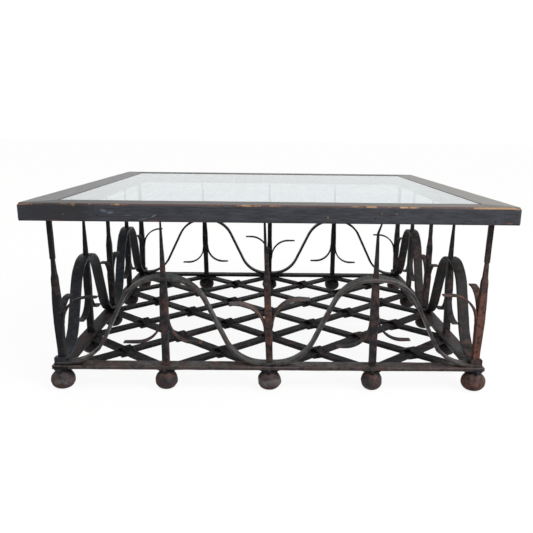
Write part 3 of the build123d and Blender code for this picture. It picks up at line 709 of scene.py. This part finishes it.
POST_CORNER = 1.3 * MM
POST_HAMMER = 0.3 * MM
POST_SEED, POST_SEED_STEP = 100, 20
BARB_RADIUS = {1: 62 * MM, -1: 57 * MM}
BARB_TIP = {1: 214 * MM, -1: 113 * MM}
BARB_TAIL = 20 * MM
BARB_ROOT = 20 * MM
BARB_WIDTH = 13.5 * MM
BARB_SWELL, BARB_SWELL_FROM_TIP = 1.25, 25 * MM
BARB_THICKNESSES = (0.6 * MM, 5 * MM, 4.6 * MM, 3 * MM)
BARB_SUNK_ROOT, BARB_SUNK_FLANK = 2.2 * MM, 0.7 * MM
BARB_SPACING = 2.5 * MM
BARB_END_ROUND = 0.8 * MM
BARB_CORNER = 1.0 * MM
BARB_HAMMER = 0.2 * MM
PLAIN_BARB = (0.0, BARB_SWELL, 0.8, 2.0)
OPENED_BARBS = {"mid_post_front": (math.radians(24), 0.8, 1.5, 0.5)}
TENON_LOW = FOOT_HEIGHT - 20 * MM
TENON_HALF = 4.5 * MM
TENON_CORNER = 4.2 * MM
TENON_SPACING = 6 * MM
POST_IRON = {
    "mid_post_front": iron(1.05, 0.3), "spear_post_front_left": iron(0.7, 0.4),
    "spear_post_front_right": iron(0.6, 0.4), "corner_post_front_right": iron(1.3, 0.4, BROWN_SHEEN),
    "spear_post_right_front": iron(0.5, 0.3), "mid_post_right": iron(0.7, 0.3),
    "spear_post_right_back": iron(0.5, 0.3),
}
OTHER_POST_IRON = iron(0.35, 0.2, BLUE_SHEEN)
SQUARE_BAR = bar_outline(4, 4)
BARB_BAR = bar_outline(3, 1)


def post_runs(kind):
    """A bar's base, and the heights and widths of its lower and of its upper length."""
    if kind == "spear":
        base, shoulder, (shares, widths) = RAIL_HIGH, PEAK_LOW, SPEAR_WIDTHS
        wide, thin = SPEAR_POINT_WIDTHS
        upper = ((PEAK_LOW, PEAK_LOW + BAND_THICKNESS, TIMBER_LOW, TIMBER_LOW + SPEAR_LET_IN),
                 (wide, wide, thin, thin))
    elif kind == "mid":
        base, shoulder, (shares, widths) = (RAIL_HIGH + BAND_THICKNESS, TIMBER_LOW - MID_ROD_LENGTH,
                                            MID_WIDTHS)
        wide, thin = MID_ROD_WIDTHS
        upper = ((shoulder, TIMBER_LOW, TIMBER_LOW + MID_LET_IN), (wide, thin, thin))
    else:
        base, shoulder, (shares, widths) = (RAIL_HIGH + 2 * BAND_THICKNESS,
                                            TIMBER_LOW - CORNER_ROD_LENGTH, CORNER_WIDTHS)
        upper = ((shoulder, TIMBER_LOW + CORNER_LET_IN), (CORNER_ROD_WIDTH, CORNER_ROD_WIDTH))
    lower = (base + np.array(shares) * (shoulder - base), np.array(widths) * MM)
    return base, lower, upper


def post_shells(name, kind, x, y, seed):
    """Shells of one upright bar: its lower and upper length, its barbs and its hidden tenon.

    The bar's sides follow its widths between their heights. A barb's middle line lies on the
    bar's flank, then follows a quarter circle out and a short level tail, and an opened barb
    turns evenly about that line. Barbs are rubbed bright towards their tips.
    """
    base, lower, upper = post_runs(kind)
    upper_shift = MID_ROD_SHIFT if kind == "mid" else 0.0
    lean = LEAN.get(name, 0) * MM
    lean_start = PEAK_LOW + BAND_THICKNESS if kind == "spear" else base
    along_x = abs(y) > abs(x) or kind == "corner"
    x_way, y_way = np.array([1.0, 0, 0]), np.array([0, 1.0, 0])
    row = x_way if along_x else y_way
    bow_heights, bow_shifts = np.array(BOW.get(name, ((0, 0), (1, 0)))).T * MM

    def axis(height):
        """Middle of the bar: upright at first, then leaning evenly to the timber, and bowed."""
        share = np.clip((height - lean_start) / (TIMBER_LOW - lean_start), 0, None)
        bow = np.interp(height, bow_heights, bow_shifts)
        return np.stack([x + lean * share + bow, y + 0 * height, height], -1)

    shells = []
    for k, ((heights, widths), shift) in enumerate(((lower, 0.0), (upper, upper_shift))):
        length = heights[-1] - heights[0]
        here = stations(length, POST_SPACING, POST_END_ROUND)
        half = np.interp(here + heights[0], heights, widths) / 2 - end_easing(here, length, POST_END_ROUND)
        middle = axis(here + heights[0]) + row * shift
        shells.append(carried(SQUARE_BAR, middle, x_way, y_way, half, -half, half, POST_CORNER, POST_HAMMER,
                              seed + k))
    direction = -1 if kind == "spear" else 1
    radius = BARB_RADIUS[direction]
    opened, spread, bright, fade = OPENED_BARBS.get(name, PLAIN_BARB)
    if kind == "corner":
        turns = ((-np.sign(x), 0), (0, -np.sign(y)))
    else:
        turns = ((-1, 0), (1, 0)) if along_x else ((0, -1), (0, 1))
    for turn, shift, reach in zip(turns, TIP_SHIFT.get(name, (0, 0)), EXTRA_REACH.get(name, (0, 0))):
        tip_height = BARB_TIP[direction] + shift * MM
        root_height = tip_height - direction * radius
        flank = np.interp(root_height, *lower) / 2 - BARB_SUNK_FLANK
        bend = radius * np.pi / 2
        length = BARB_ROOT + bend + (BARB_TAIL + reach * MM)
        here = stations(length, BARB_SPACING, BARB_END_ROUND)
        angle = np.clip((here - BARB_ROOT) / radius, 0, np.pi / 2)
        out = flank + radius * (1 - np.cos(angle)) + np.clip(here - BARB_ROOT - bend, 0, None)
        rise = radius * np.sin(angle) - radius + np.minimum(here - BARB_ROOT, 0)
        plan = np.array([turn[0], turn[1], 0.0])
        middle = axis(np.full(len(here), root_height)) + plan * out[:, None]
        middle[:, 2] = tip_height + direction * rise
        lean_out = plan * np.cos(angle)[:, None] - UPWARD * (direction * np.sin(angle))[:, None]
        thick = np.interp(here, (0, BARB_ROOT, BARB_ROOT + bend, length), BARB_THICKNESSES) / 2
        level = np.interp(here, (0, BARB_ROOT), (-BARB_SUNK_ROOT, 0.0))
        half = np.interp(here, (0, length - BARB_SWELL_FROM_TIP, length),
                         BARB_WIDTH * np.array([1, BARB_SWELL, spread])) / 2
        eased = end_easing(here, length, BARB_END_ROUND)
        across = np.array([-plan[1], plan[0], 0])
        twist = -opened * (turn[0] + turn[1]) * (here / length)[:, None]
        across, lean_out = (across * np.cos(twist) + lean_out * np.sin(twist),
                            lean_out * np.cos(twist) - across * np.sin(twist))
        rings, marks = carried(BARB_BAR, middle, across, lean_out, half - eased, level - thick + eased / 2,
                               level + thick - eased / 2, BARB_CORNER, BARB_HAMMER,
                               seed + 5 + int(turn[0] + 3 * turn[1]))
        shells.append((rings, np.maximum(marks, bright * (here / length)[:, None] ** fade)))
    depth = base - TENON_LOW
    here = stations(depth, TENON_SPACING, POST_END_ROUND)
    half = TENON_HALF - end_easing(here, depth, POST_END_ROUND)
    middle = np.stack([x + 0 * here, y + 0 * here, TENON_LOW + here], -1)
    shells.append(carried(SQUARE_BAR, middle, x_way, y_way, half, -half, half, TENON_CORNER, 0.0, seed))
    return shells


upright_bars = []
for quarter, side in enumerate(SIDES):
    x, y = quarter_turn(np.array([0, -HALF_SPAN, 0]), quarter)[:2].round(6)
    upright_bars.append((f"mid_post_{side}", "mid", x, y))
for side, y in (("front", -HALF_SPAN), ("back", HALF_SPAN)):
    for hand, sign in (("left", -1), ("right", 1)):
        upright_bars.append((f"corner_post_{side}_{hand}", "corner", sign * HALF_SPAN, y))
        upright_bars.append((f"spear_post_{side}_{hand}", "spear", sign * BAY, y))
for side, x in (("left", -HALF_SPAN), ("right", HALF_SPAN)):
    for end, sign in (("front", -1), ("back", 1)):
        upright_bars.append((f"spear_post_{side}_{end}", "spear", x, sign * BAY))
for k, (name, kind, x, y) in enumerate(upright_bars):
    fitted(f"forged_{name}", post_shells(name, kind, x, y, POST_SEED + POST_SEED_STEP * k), name,
           POST_IRON.get(name, OTHER_POST_IRON))

# Timber top: four pine rails mitred at the corners, rebated for the glass, painted black by brush
# and rubbed through along the edges, most at the corners and along the top of the front.
HALF_TOP = 535 * MM
TOP_HIGH = 436 * MM
TIMBER_WIDTH = 76 * MM
LEDGE_WIDTH = 9 * MM
LEDGE_HIGH = 427.5 * MM
CORNER_ARC = 9 * MM
TOP_ROUND, UNDER_ROUND = 5 * MM, 2 * MM
INSIDE_ROUND, LEDGE_ROUND, REBATE_ROUND = 0.8 * MM, 0.6 * MM, 0.3 * MM
SECTION_SPACING = 6 * MM
RINGS_ALONG_A_RAIL = 340
EVEN_SHARE = 0.55
MITRE_GAP = 0.1 * MM
MITRE_REACH = 0.022
BRUISE_DEPTH = 0.6 * MM
BRUISE_LEVEL, MITRE_BRUISE, NICK_SHARE = 0.35, 6, 0.5
BRUISE_SIZE, NICK_SIZE = 28 * MM, 9 * MM
PLANING_WAVE, PLANING_WAVE_SIZE = 0.18 * MM, 70 * MM
WEAR_SIZE, FINE_WEAR_SIZE = 45 * MM, 12 * MM
WEAR_LEVEL, WEAR_SHARE, FINE_WEAR_SHARE, MITRE_WEAR = 0.46, 0.35, 0.25, 0.25
ROUND_STEPS, MARK_FULLNESS = 5, 0.35
OTHER_EDGES_WEAR = 0.72
LEAST_FRONT_WEAR = 0.5
TIMBER_SEED, TIMBER_SEED_STEP = 300, 7
STREAK_SIZE, FINE_STREAK_SIZE = 5 * MM, 1.6 * MM
CLOUD_SIZE, CHIP_SIZE, FRECKLE_SIZE = 40 * MM, 6 * MM, 2.2 * MM
STREAK_DEPTH, CHIP_DEPTH = 0.4 * MM, 0.5 * MM
STREAK_STRETCH = 0.06
PATCH_DEPTH = 8 * MM
BLACK_PAINT = "#25262C"
PAINT_BLOOM = "#3B3D46"
THIN_PAINT = "#4A302A"
# Rubbed tops, also painted sheen on faces that look up.
RUBBED_TOP_AND_SHEEN = "#645F58"
BARE_PINE = "#B58E68"
DARK_GRAIN = "#6F5440"
BLUE_SCUFF = "#7F8CA0"
PALE_CHIP = "#C9AE72"
NAIL_HOLE = "#08070A"
FRECKLE = "#5A3C36"
# Dark for the painted shade at the front face's left end.
LEFT_END_SHADE = "#17171B"
RED_RUB = "#6E4540"
FRONT_FACE = -HALF_TOP
LOOSE_SHARE = 0.9
GRAIN_BAND = (0.35, 0.65)
FACING_UP = (0.6, 0.95)
RUBBED_STREAKS = (0.3, 0.7, 0.25, 0.9)
# Share of rub and painted sheen on the tops, at the left and at the right end.
RUB_AND_SHEEN_LEFT, RUB_AND_SHEEN_RIGHT = 0.45, 1.5
BLOOM_CLOUDS = (0.45, 0.75, 0.0, 0.8)
PALE_BRUSHED, DARK_BRUSHED = (0.48, 0.62, 0.0, 0.9), (0.42, 0.32, 0.0, 0.8)
THIN_BAND, BARE_BAND = (0.72, 0.95), (1.06, 1.24)
FRECKLE_BAND = (0.68, 0.76, 0.0, 0.7)
PATCH_FADE = (1.1, 1.6, 1.0, 0.0)
DULL_SPREAD = 0.2
BRUSH_STRENGTH, CHIP_STRENGTH = 0.35, 0.25
PAINT_GLOSS = 0.4

# Wear along the front's top edge, as start, end and strength, and marks on its face, as colour,
# centre, half size, tilt and strength. Lengths are millimetres along the table and above the floor.
RUBBED_EDGES = ((-535, -480, 0.5), (202, 222, 0.5), (272, 291, 0.4), (293, 316, 0.45), (430, 535, 0.75),
                (-420, -412, 0.6), (-60, -20, 0.2), (60, 90, 0.25))
FRONT_MARKS = (
    (BLUE_SCUFF, (-352, 421), (13, 6), -0.3, 0.42), (BLUE_SCUFF, (-338, 417), (11, 5), 0.2, 0.42),
    (BLUE_SCUFF, (-303, 412), (17, 2), 0.0, 0.3), (BLUE_SCUFF, (-247, 411), (13, 2.2), 0.45, 0.55),
    (BLUE_SCUFF, (-270, 404), (16, 1.6), 0.15, 0.45), (PALE_CHIP, (-437, 413), (1.5, 2.2), 0.0, 0.8),
    (PALE_CHIP, (-414, 431), (2.5, 1.6), 0.0, 0.8), (PALE_CHIP, (121, 411), (0.9, 3), 0.0, 0.6),
    (PALE_CHIP, (235, 421), (1.2, 1.2), 0.0, 0.6), (PALE_CHIP, (267, 420), (1.5, 1), 0.0, 0.55),
    (NAIL_HOLE, (-367, 412), (2.4, 2.4), 0.0, 1.0), (NAIL_HOLE, (-146, 418), (2.4, 2.4), 0.0, 1.0),
    (NAIL_HOLE, (221, 409), (2.6, 2.6), 0.0, 1.0), (NAIL_HOLE, (478, 406), (2.6, 2.6), 0.0, 1.0),
    # The large dark patch at the front face's left end is painted shade.
    (NAIL_HOLE, (501, 404), (2.2, 2.2), 0.0, 1.0), (LEFT_END_SHADE, (-450, 418), (85, 40), 0.0, 0.75),
    (RED_RUB, (-246, 401), (12, 1.6), -0.1, 0.7), (RED_RUB, (-158, 399), (24, 1.5), 0.0, 0.7),
    (RED_RUB, (-456, 400), (13, 1.6), 0.0, 0.6), (RED_RUB, (508, 402), (10, 2), 0.0, 0.6),
)


def rounded_loop(corners, radii, spacing):
    """Loop round a section with rounded corners.

    Each corner is a quarter circle that touches its two sides, and the sides between have evenly
    spaced points. Returns the points, their outward directions and a mark that rises to 1 at
    the middle of each outer corner.
    """
    corners = np.array(corners, float)
    ahead = np.roll(corners, -1, axis=0) - corners
    lengths = np.hypot(*ahead.T)
    ahead /= lengths[:, None]
    behind = -np.roll(ahead, 1, axis=0)
    outward = np.stack([ahead[:, 1], -ahead[:, 0]], -1)
    before = np.roll(outward, 1, axis=0)
    points, normals, marks = [], [], []
    for k, corner in enumerate(corners):
        share = np.linspace(0, 1, ROUND_STEPS)[:, None]
        turned = before[k] * np.cos(share * np.pi / 2) + outward[k] * np.sin(share * np.pi / 2)
        bend = np.sign(before[k][0] * outward[k][1] - before[k][1] * outward[k][0])
        centre = corner + radii[k] * (ahead[k] + behind[k])
        points.append(centre + bend * radii[k] * turned)
        normals.append(turned)
        marks.append(np.sin(share[:, 0] * np.pi) ** MARK_FULLNESS if bend > 0 else 0 * share[:, 0])
        last = radii[(k + 1) % len(radii)]
        steps = max(1, int((lengths[k] - radii[k] - last) / spacing))
        place = radii[k] + (lengths[k] - radii[k] - last) * (np.arange(steps) + 0.5) / steps
        points.append(corner + ahead[k] * place[:, None])
        normals.append(np.tile(outward[k], (steps, 1)))
        marks.append(np.zeros(steps))
    return np.concatenate(points), np.concatenate(normals), np.concatenate(marks)


half_inside = HALF_TOP - TIMBER_WIDTH
half_rebate = half_inside + LEDGE_WIDTH
rail_section = rounded_loop(
    ((half_inside, TIMBER_LOW), (HALF_TOP, TIMBER_LOW), (HALF_TOP, TOP_HIGH), (half_rebate, TOP_HIGH),
     (half_rebate, LEDGE_HIGH), (half_inside, LEDGE_HIGH)),
    (INSIDE_ROUND, UNDER_ROUND, TOP_ROUND, INSIDE_ROUND, REBATE_ROUND, LEDGE_ROUND), SECTION_SPACING)


def timber_rail(quarter):
    """Shell of one rail of the top.

    The section is carried from mitre to mitre, so a point's run ends as far out as it lies from
    the table's middle. Points beyond the corner's arc are drawn back onto it, and worn edges are
    pressed in by smooth lumps.
    """
    places, normals, marks = rail_section
    even = np.linspace(-1, 1, RINGS_ALONG_A_RAIL)
    share = EVEN_SHARE * even + (1 - EVEN_SHARE) * np.sin(even * np.pi / 2)
    along = share[:, None] * (places[:, 0] - MITRE_GAP)
    out = np.broadcast_to(places[:, 0], along.shape)
    straight = HALF_TOP - CORNER_ARC
    past_along = np.clip(np.abs(along) - straight, 0, None)
    past_out = np.clip(out - straight, 0, None)
    draw = np.minimum(1, CORNER_ARC / np.maximum(np.hypot(past_along, past_out), 1e-9))
    along = np.where(past_along > 0, np.sign(along) * (straight + past_along * draw), along)
    out = np.where(past_out > 0, straight + past_out * draw, out)
    rings = np.stack([along, -out, np.broadcast_to(places[:, 1], along.shape)], -1)
    seed = TIMBER_SEED + TIMBER_SEED_STEP * quarter
    beside = np.exp(-((np.abs(share)[:, None] - 1) / MITRE_REACH) ** 2)
    bruise = np.clip(BRUISE_LEVEL + MITRE_BRUISE * beside + lumps(rings, BRUISE_SIZE, seed)
                     + NICK_SHARE * lumps(rings, NICK_SIZE, seed + 1), 0, None)
    push = PLANING_WAVE * lumps(rings, PLANING_WAVE_SIZE, seed + 2) - marks * bruise * BRUISE_DEPTH
    direction = np.stack([0 * normals[:, 0], -normals[:, 0], normals[:, 1]], -1)
    rings = rings + direction * push[..., None]
    worn = (WEAR_LEVEL + WEAR_SHARE * lumps(rings, WEAR_SIZE, seed + 3)
            + FINE_WEAR_SHARE * lumps(rings, FINE_WEAR_SIZE, seed + 4) + MITRE_WEAR * beside)
    top_edge = (places[:, 1] > (TIMBER_LOW + TOP_HIGH) / 2) & (places[:, 0] > HALF_TOP - TIMBER_WIDTH / 2)
    worn = worn * np.where(top_edge, 1.0, OTHER_EDGES_WEAR)
    if quarter == 0:
        for start, end, extra in RUBBED_EDGES:
            inside = (rings[..., 0] > start * MM) & (rings[..., 0] < end * MM)
            worn = worn + inside * top_edge * extra
        worn = np.maximum(worn, LEAST_FRONT_WEAR * top_edge)
    return quarter_turn(rings, quarter), marks * worn


def patch(tree, place, centre, half_size, tilt, ragged):
    """Share of a tilted, uneven patch on the front face: its distance over its size, plus noise."""
    middle = (centre[0] * MM, FRONT_FACE, centre[1] * MM)
    off = add(tree, "VectorMath", [place, middle], operation="SUBTRACT")[0]
    level = add(tree, "VectorRotate", {"Vector": off, "Angle": tilt}, rotation_type="Y_AXIS")[0]
    over = (1 / (half_size[0] * MM), 1 / PATCH_DEPTH, 1 / (half_size[1] * MM))
    scaled = add(tree, "VectorMath", [level, over], operation="MULTIPLY")[0]
    away = add(tree, "VectorMath", [scaled], operation="LENGTH")["Value"]
    reach = add(tree, "Math", [away, ragged], operation="ADD")[0]
    return add(tree, "MapRange", [reach, *PATCH_FADE])[0]


def worn_paint(name, stretch, dullness, marks):
    """Brushed black paint over pine, with its streaks and grain drawn out along the rail.

    It looks a dull satin black with pale edges. Faces that look up are rubbed thin and brownish, in
    streaks, and this colour is also painted sheen, stronger to the right, where the light falls.
    Edges go through thin reddish paint to bare wood, and each mark is a patch of its own colour;
    the dark patch at the front's left end is painted shade. Each band is two levels on noise, or on
    the wear with the chips added, between which a coat comes in, and may end with the coat's share
    at each.
    """
    material, tree, place = blank_material(name)
    drawn = add(tree, "Mapping", {"Vector": place, "Scale": stretch})[0]
    worn = add(tree, "Attribute", attribute_name="edge_wear_and_highlight")["Fac"]
    streaks, fine, clouds, chips, freckled = (
        add(tree, "TexNoise", {"Vector": way, "Scale": 1 / size, "Detail": detail, "Roughness": rough})[0]
        for way, size, detail, rough in (
            (drawn, STREAK_SIZE, 6.0, 0.65), (drawn, FINE_STREAK_SIZE, 3.0, 0.6),
            (place, CLOUD_SIZE, 5.0, 0.6), (place, CHIP_SIZE, 4.0, 0.7), (place, FRECKLE_SIZE, 2.0, 0.6)))
    loose = add(tree, "Math", [chips, LOOSE_SHARE], operation="MULTIPLY")[0]
    reach = add(tree, "Math", [worn, loose], operation="ADD")[0]
    grain = add(tree, "MapRange", [streaks, *GRAIN_BAND])[0]
    wood = add(tree, "Mix", {0: grain, 6: linear(DARK_GRAIN), 7: linear(BARE_PINE)}, data_type="RGBA")[2]
    topside = add(tree, "MapRange", [add(tree, "SeparateXYZ", [add(tree, "NewGeometry")["Normal"]])["Z"],
                                     *FACING_UP])[0]
    streaked = add(tree, "MapRange", [streaks, *RUBBED_STREAKS])[0]
    # Faces that look up take the rubbed colour in streaks, partly as painted sheen, more to the right.
    sheen_to_right = add(tree, "MapRange", [add(tree, "SeparateXYZ", [place])["X"], -HALF_TOP, HALF_TOP,
                                      RUB_AND_SHEEN_LEFT, RUB_AND_SHEEN_RIGHT])[0]
    rubbed_and_highlight = add(tree, "Math", [topside, streaked], operation="MULTIPLY")[0]
    rubbed_and_highlight = add(tree, "Math", [rubbed_and_highlight, sheen_to_right], operation="MULTIPLY")[0]
    bloom, pale_streaks, dark_streaks, thin, bare, freckles = (
        add(tree, "MapRange", [value, *limits])[0]
        for value, limits in ((clouds, BLOOM_CLOUDS), (fine, PALE_BRUSHED), (fine, DARK_BRUSHED),
                              (reach, THIN_BAND), (reach, BARE_BAND), (freckled, FRECKLE_BAND)))
    coats = [(bloom, linear(PAINT_BLOOM)), (pale_streaks, linear(PAINT_BLOOM)),
             (dark_streaks, linear(NAIL_HOLE)), (rubbed_and_highlight, linear(RUBBED_TOP_AND_SHEEN)), (thin, linear(THIN_PAINT)),
             (bare, wood), (freckles, linear(FRECKLE))]
    scraped = add(tree, "Math", [fine, chips], operation="ADD")[0]
    scraped = add(tree, "Math", [scraped, LOOSE_SHARE], operation="MULTIPLY")[0]
    for code, centre, half_size, tilt, strength in marks:
        share = patch(tree, place, centre, half_size, tilt, scraped if code == BLUE_SCUFF else chips)
        coats.append((add(tree, "Math", [share, strength], operation="MULTIPLY")[0], linear(code)))
    colour = linear(BLACK_PAINT)
    for share, coat in coats:
        colour = add(tree, "Mix", {0: share, 6: colour, 7: coat}, data_type="RGBA")[2]
    dull = add(tree, "MapRange", [streaks, 0.2, 0.8, dullness, dullness + DULL_SPREAD])[0]
    brushed = add(tree, "Bump", {"Height": streaks, "Strength": BRUSH_STRENGTH,
                                 "Distance": STREAK_DEPTH})[0]
    chipped = add(tree, "Bump", {"Height": chips, "Strength": CHIP_STRENGTH, "Distance": CHIP_DEPTH,
                                 "Normal": brushed})[0]
    surface = add(tree, "BsdfPrincipled", {"Base Color": colour, "Roughness": dull, "Normal": chipped,
                                           "Specular IOR Level": PAINT_GLOSS})[0]
    add(tree, "OutputMaterial", [surface])
    return material


along_x, along_y = (STREAK_STRETCH, 1.0, 1.0), (1.0, STREAK_STRETCH, 1.0)
rail_paint = {"front": worn_paint("worn_black_paint_front", along_x, 0.5, FRONT_MARKS),
              "back": worn_paint("worn_black_paint_back", along_x, 0.4, ()),
              "left": worn_paint("worn_black_paint_sides", along_y, 0.28, ())}
rail_paint["right"] = rail_paint["left"]
for quarter, side in enumerate(SIDES):
    fitted(f"timber_{side}", [timber_rail(quarter)], f"top_rail_{side}", rail_paint[side])

# Small parts, in their CAD shape: beech splines glued across the mitres, iron plates screwed on
# under the corners, clear pads stuck on the ledge, and the pane of float glass laid on them.
GLASS_TINT = "#CCDCDD"
FILM_GREY = "#C4CDD2"
FILM_BAND = (0.8, 1.25, 0.08, 0.19)
WIPE_STRETCH, SAWN_STRETCH = (1.0, 0.01, 1.0), (0.2, 0.2, 1.0)
WIPE_SIZE, DUST_CLOUD_SIZE = 12 * MM, 180 * MM
SAWN_BEECH, BEECH_GRAIN = "#B98F62", "#8D683F"
BEECH_GRAIN_SIZE = 1.5 * MM
CLEAR_BUMPER = "#E3EAE8"
HAZE_SIZE = 4 * MM
DULLED_STEEL, STEEL_SPOTS = "#8B8884", "#4A3A30"
STEEL_SPOT_SIZE = 2 * MM
GLASS_IOR, BUMPER_IOR = 1.52, 1.41


def dress(node, material):
    """Give a carried-over node its material."""
    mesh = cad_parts[node].data
    mesh.materials.clear()
    mesh.materials.append(material)


def float_glass():
    """Clear float glass, a little green, with a thin film of dust wiped in streaks to the front.

    It mirrors the room at a low angle, and the dust lays a faint grey veil over what lies below.
    """
    material, tree, place = blank_material("clear_float_glass")
    drawn = add(tree, "Mapping", {"Vector": place, "Scale": WIPE_STRETCH})[0]
    streaks, clouds = (
        add(tree, "TexNoise", {"Vector": way, "Scale": 1 / size, "Detail": detail, "Roughness": 0.6})[0]
        for way, size, detail in ((drawn, WIPE_SIZE, 5.0), (place, DUST_CLOUD_SIZE, 3.0)))
    wiped = add(tree, "Math", [streaks, clouds], operation="ADD")[0]
    film = add(tree, "MapRange", [wiped, *FILM_BAND])[0]
    clear = add(tree, "BsdfPrincipled", {"Base Color": linear(GLASS_TINT), "Roughness": 0.0,
                                         "IOR": GLASS_IOR, "Transmission Weight": 1.0})[0]
    dust = add(tree, "BsdfDiffuse", {"Color": linear(FILM_GREY)})[0]
    add(tree, "OutputMaterial", [add(tree, "MixShader", [film, clear, dust])[0]])
    return material


def sawn_hardwood():
    """Sawn beech, dull and straw brown, with its grain drawn out level across the mitre."""
    material, tree, place = blank_material("sawn_beech")
    drawn = add(tree, "Mapping", {"Vector": place, "Scale": SAWN_STRETCH})[0]
    lines = add(tree, "TexNoise", {"Vector": drawn, "Scale": 1 / BEECH_GRAIN_SIZE, "Detail": 4.0,
                                   "Roughness": 0.6})[0]
    grain = add(tree, "MapRange", [lines, *GRAIN_BAND])[0]
    colour = add(tree, "Mix", {0: grain, 6: linear(BEECH_GRAIN), 7: linear(SAWN_BEECH)},
                 data_type="RGBA")[2]
    add(tree, "OutputMaterial", [add(tree, "BsdfPrincipled", {"Base Color": colour, "Roughness": 0.7})[0]])
    return material


def bumper_rubber():
    """Clear soft bumper, a little cloudy and matt."""
    material, tree, place = blank_material("clear_bumper")
    cloudy = add(tree, "TexNoise", {"Vector": place, "Scale": 1 / HAZE_SIZE, "Detail": 4.0,
                                    "Roughness": 0.6})[0]
    haze = add(tree, "MapRange", [cloudy, 0.3, 0.7, 0.25, 0.45])[0]
    surface = add(tree, "BsdfPrincipled", {"Base Color": linear(CLEAR_BUMPER), "Roughness": haze,
                                           "IOR": BUMPER_IOR, "Transmission Weight": 0.9})[0]
    add(tree, "OutputMaterial", [surface])
    return material


def screw_steel():
    """Turned steel of a wood screw, a soft metal grey, dulled and spotted brown."""
    material, tree, place = blank_material("dulled_screw_steel")
    speckled = add(tree, "TexNoise", {"Vector": place, "Scale": 1 / STEEL_SPOT_SIZE, "Detail": 4.0,
                                      "Roughness": 0.6})[0]
    spots = add(tree, "MapRange", [speckled, 0.5, 0.65])[0]
    colour = add(tree, "Mix", {0: spots, 6: linear(DULLED_STEEL), 7: linear(STEEL_SPOTS)},
                 data_type="RGBA")[2]
    dull = add(tree, "MapRange", [spots, 0.0, 1.0, 0.35, 0.7])[0]
    surface = add(tree, "BsdfPrincipled", {"Base Color": colour, "Roughness": dull, "Metallic": 1.0})[0]
    add(tree, "OutputMaterial", [surface])
    return material


PLATE_IRON = iron(0.8, 0.5)
dress("glass_pane", float_glass())
dress("mitre_splines", sawn_hardwood())
dress("glass_pads", bumper_rubber())
dress("plate_screws", screw_steel())
for end in ("front", "back"):
    for hand in ("left", "right"):
        dress(f"corner_plate_{end}_{hand}", PLATE_IRON)

low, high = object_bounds()
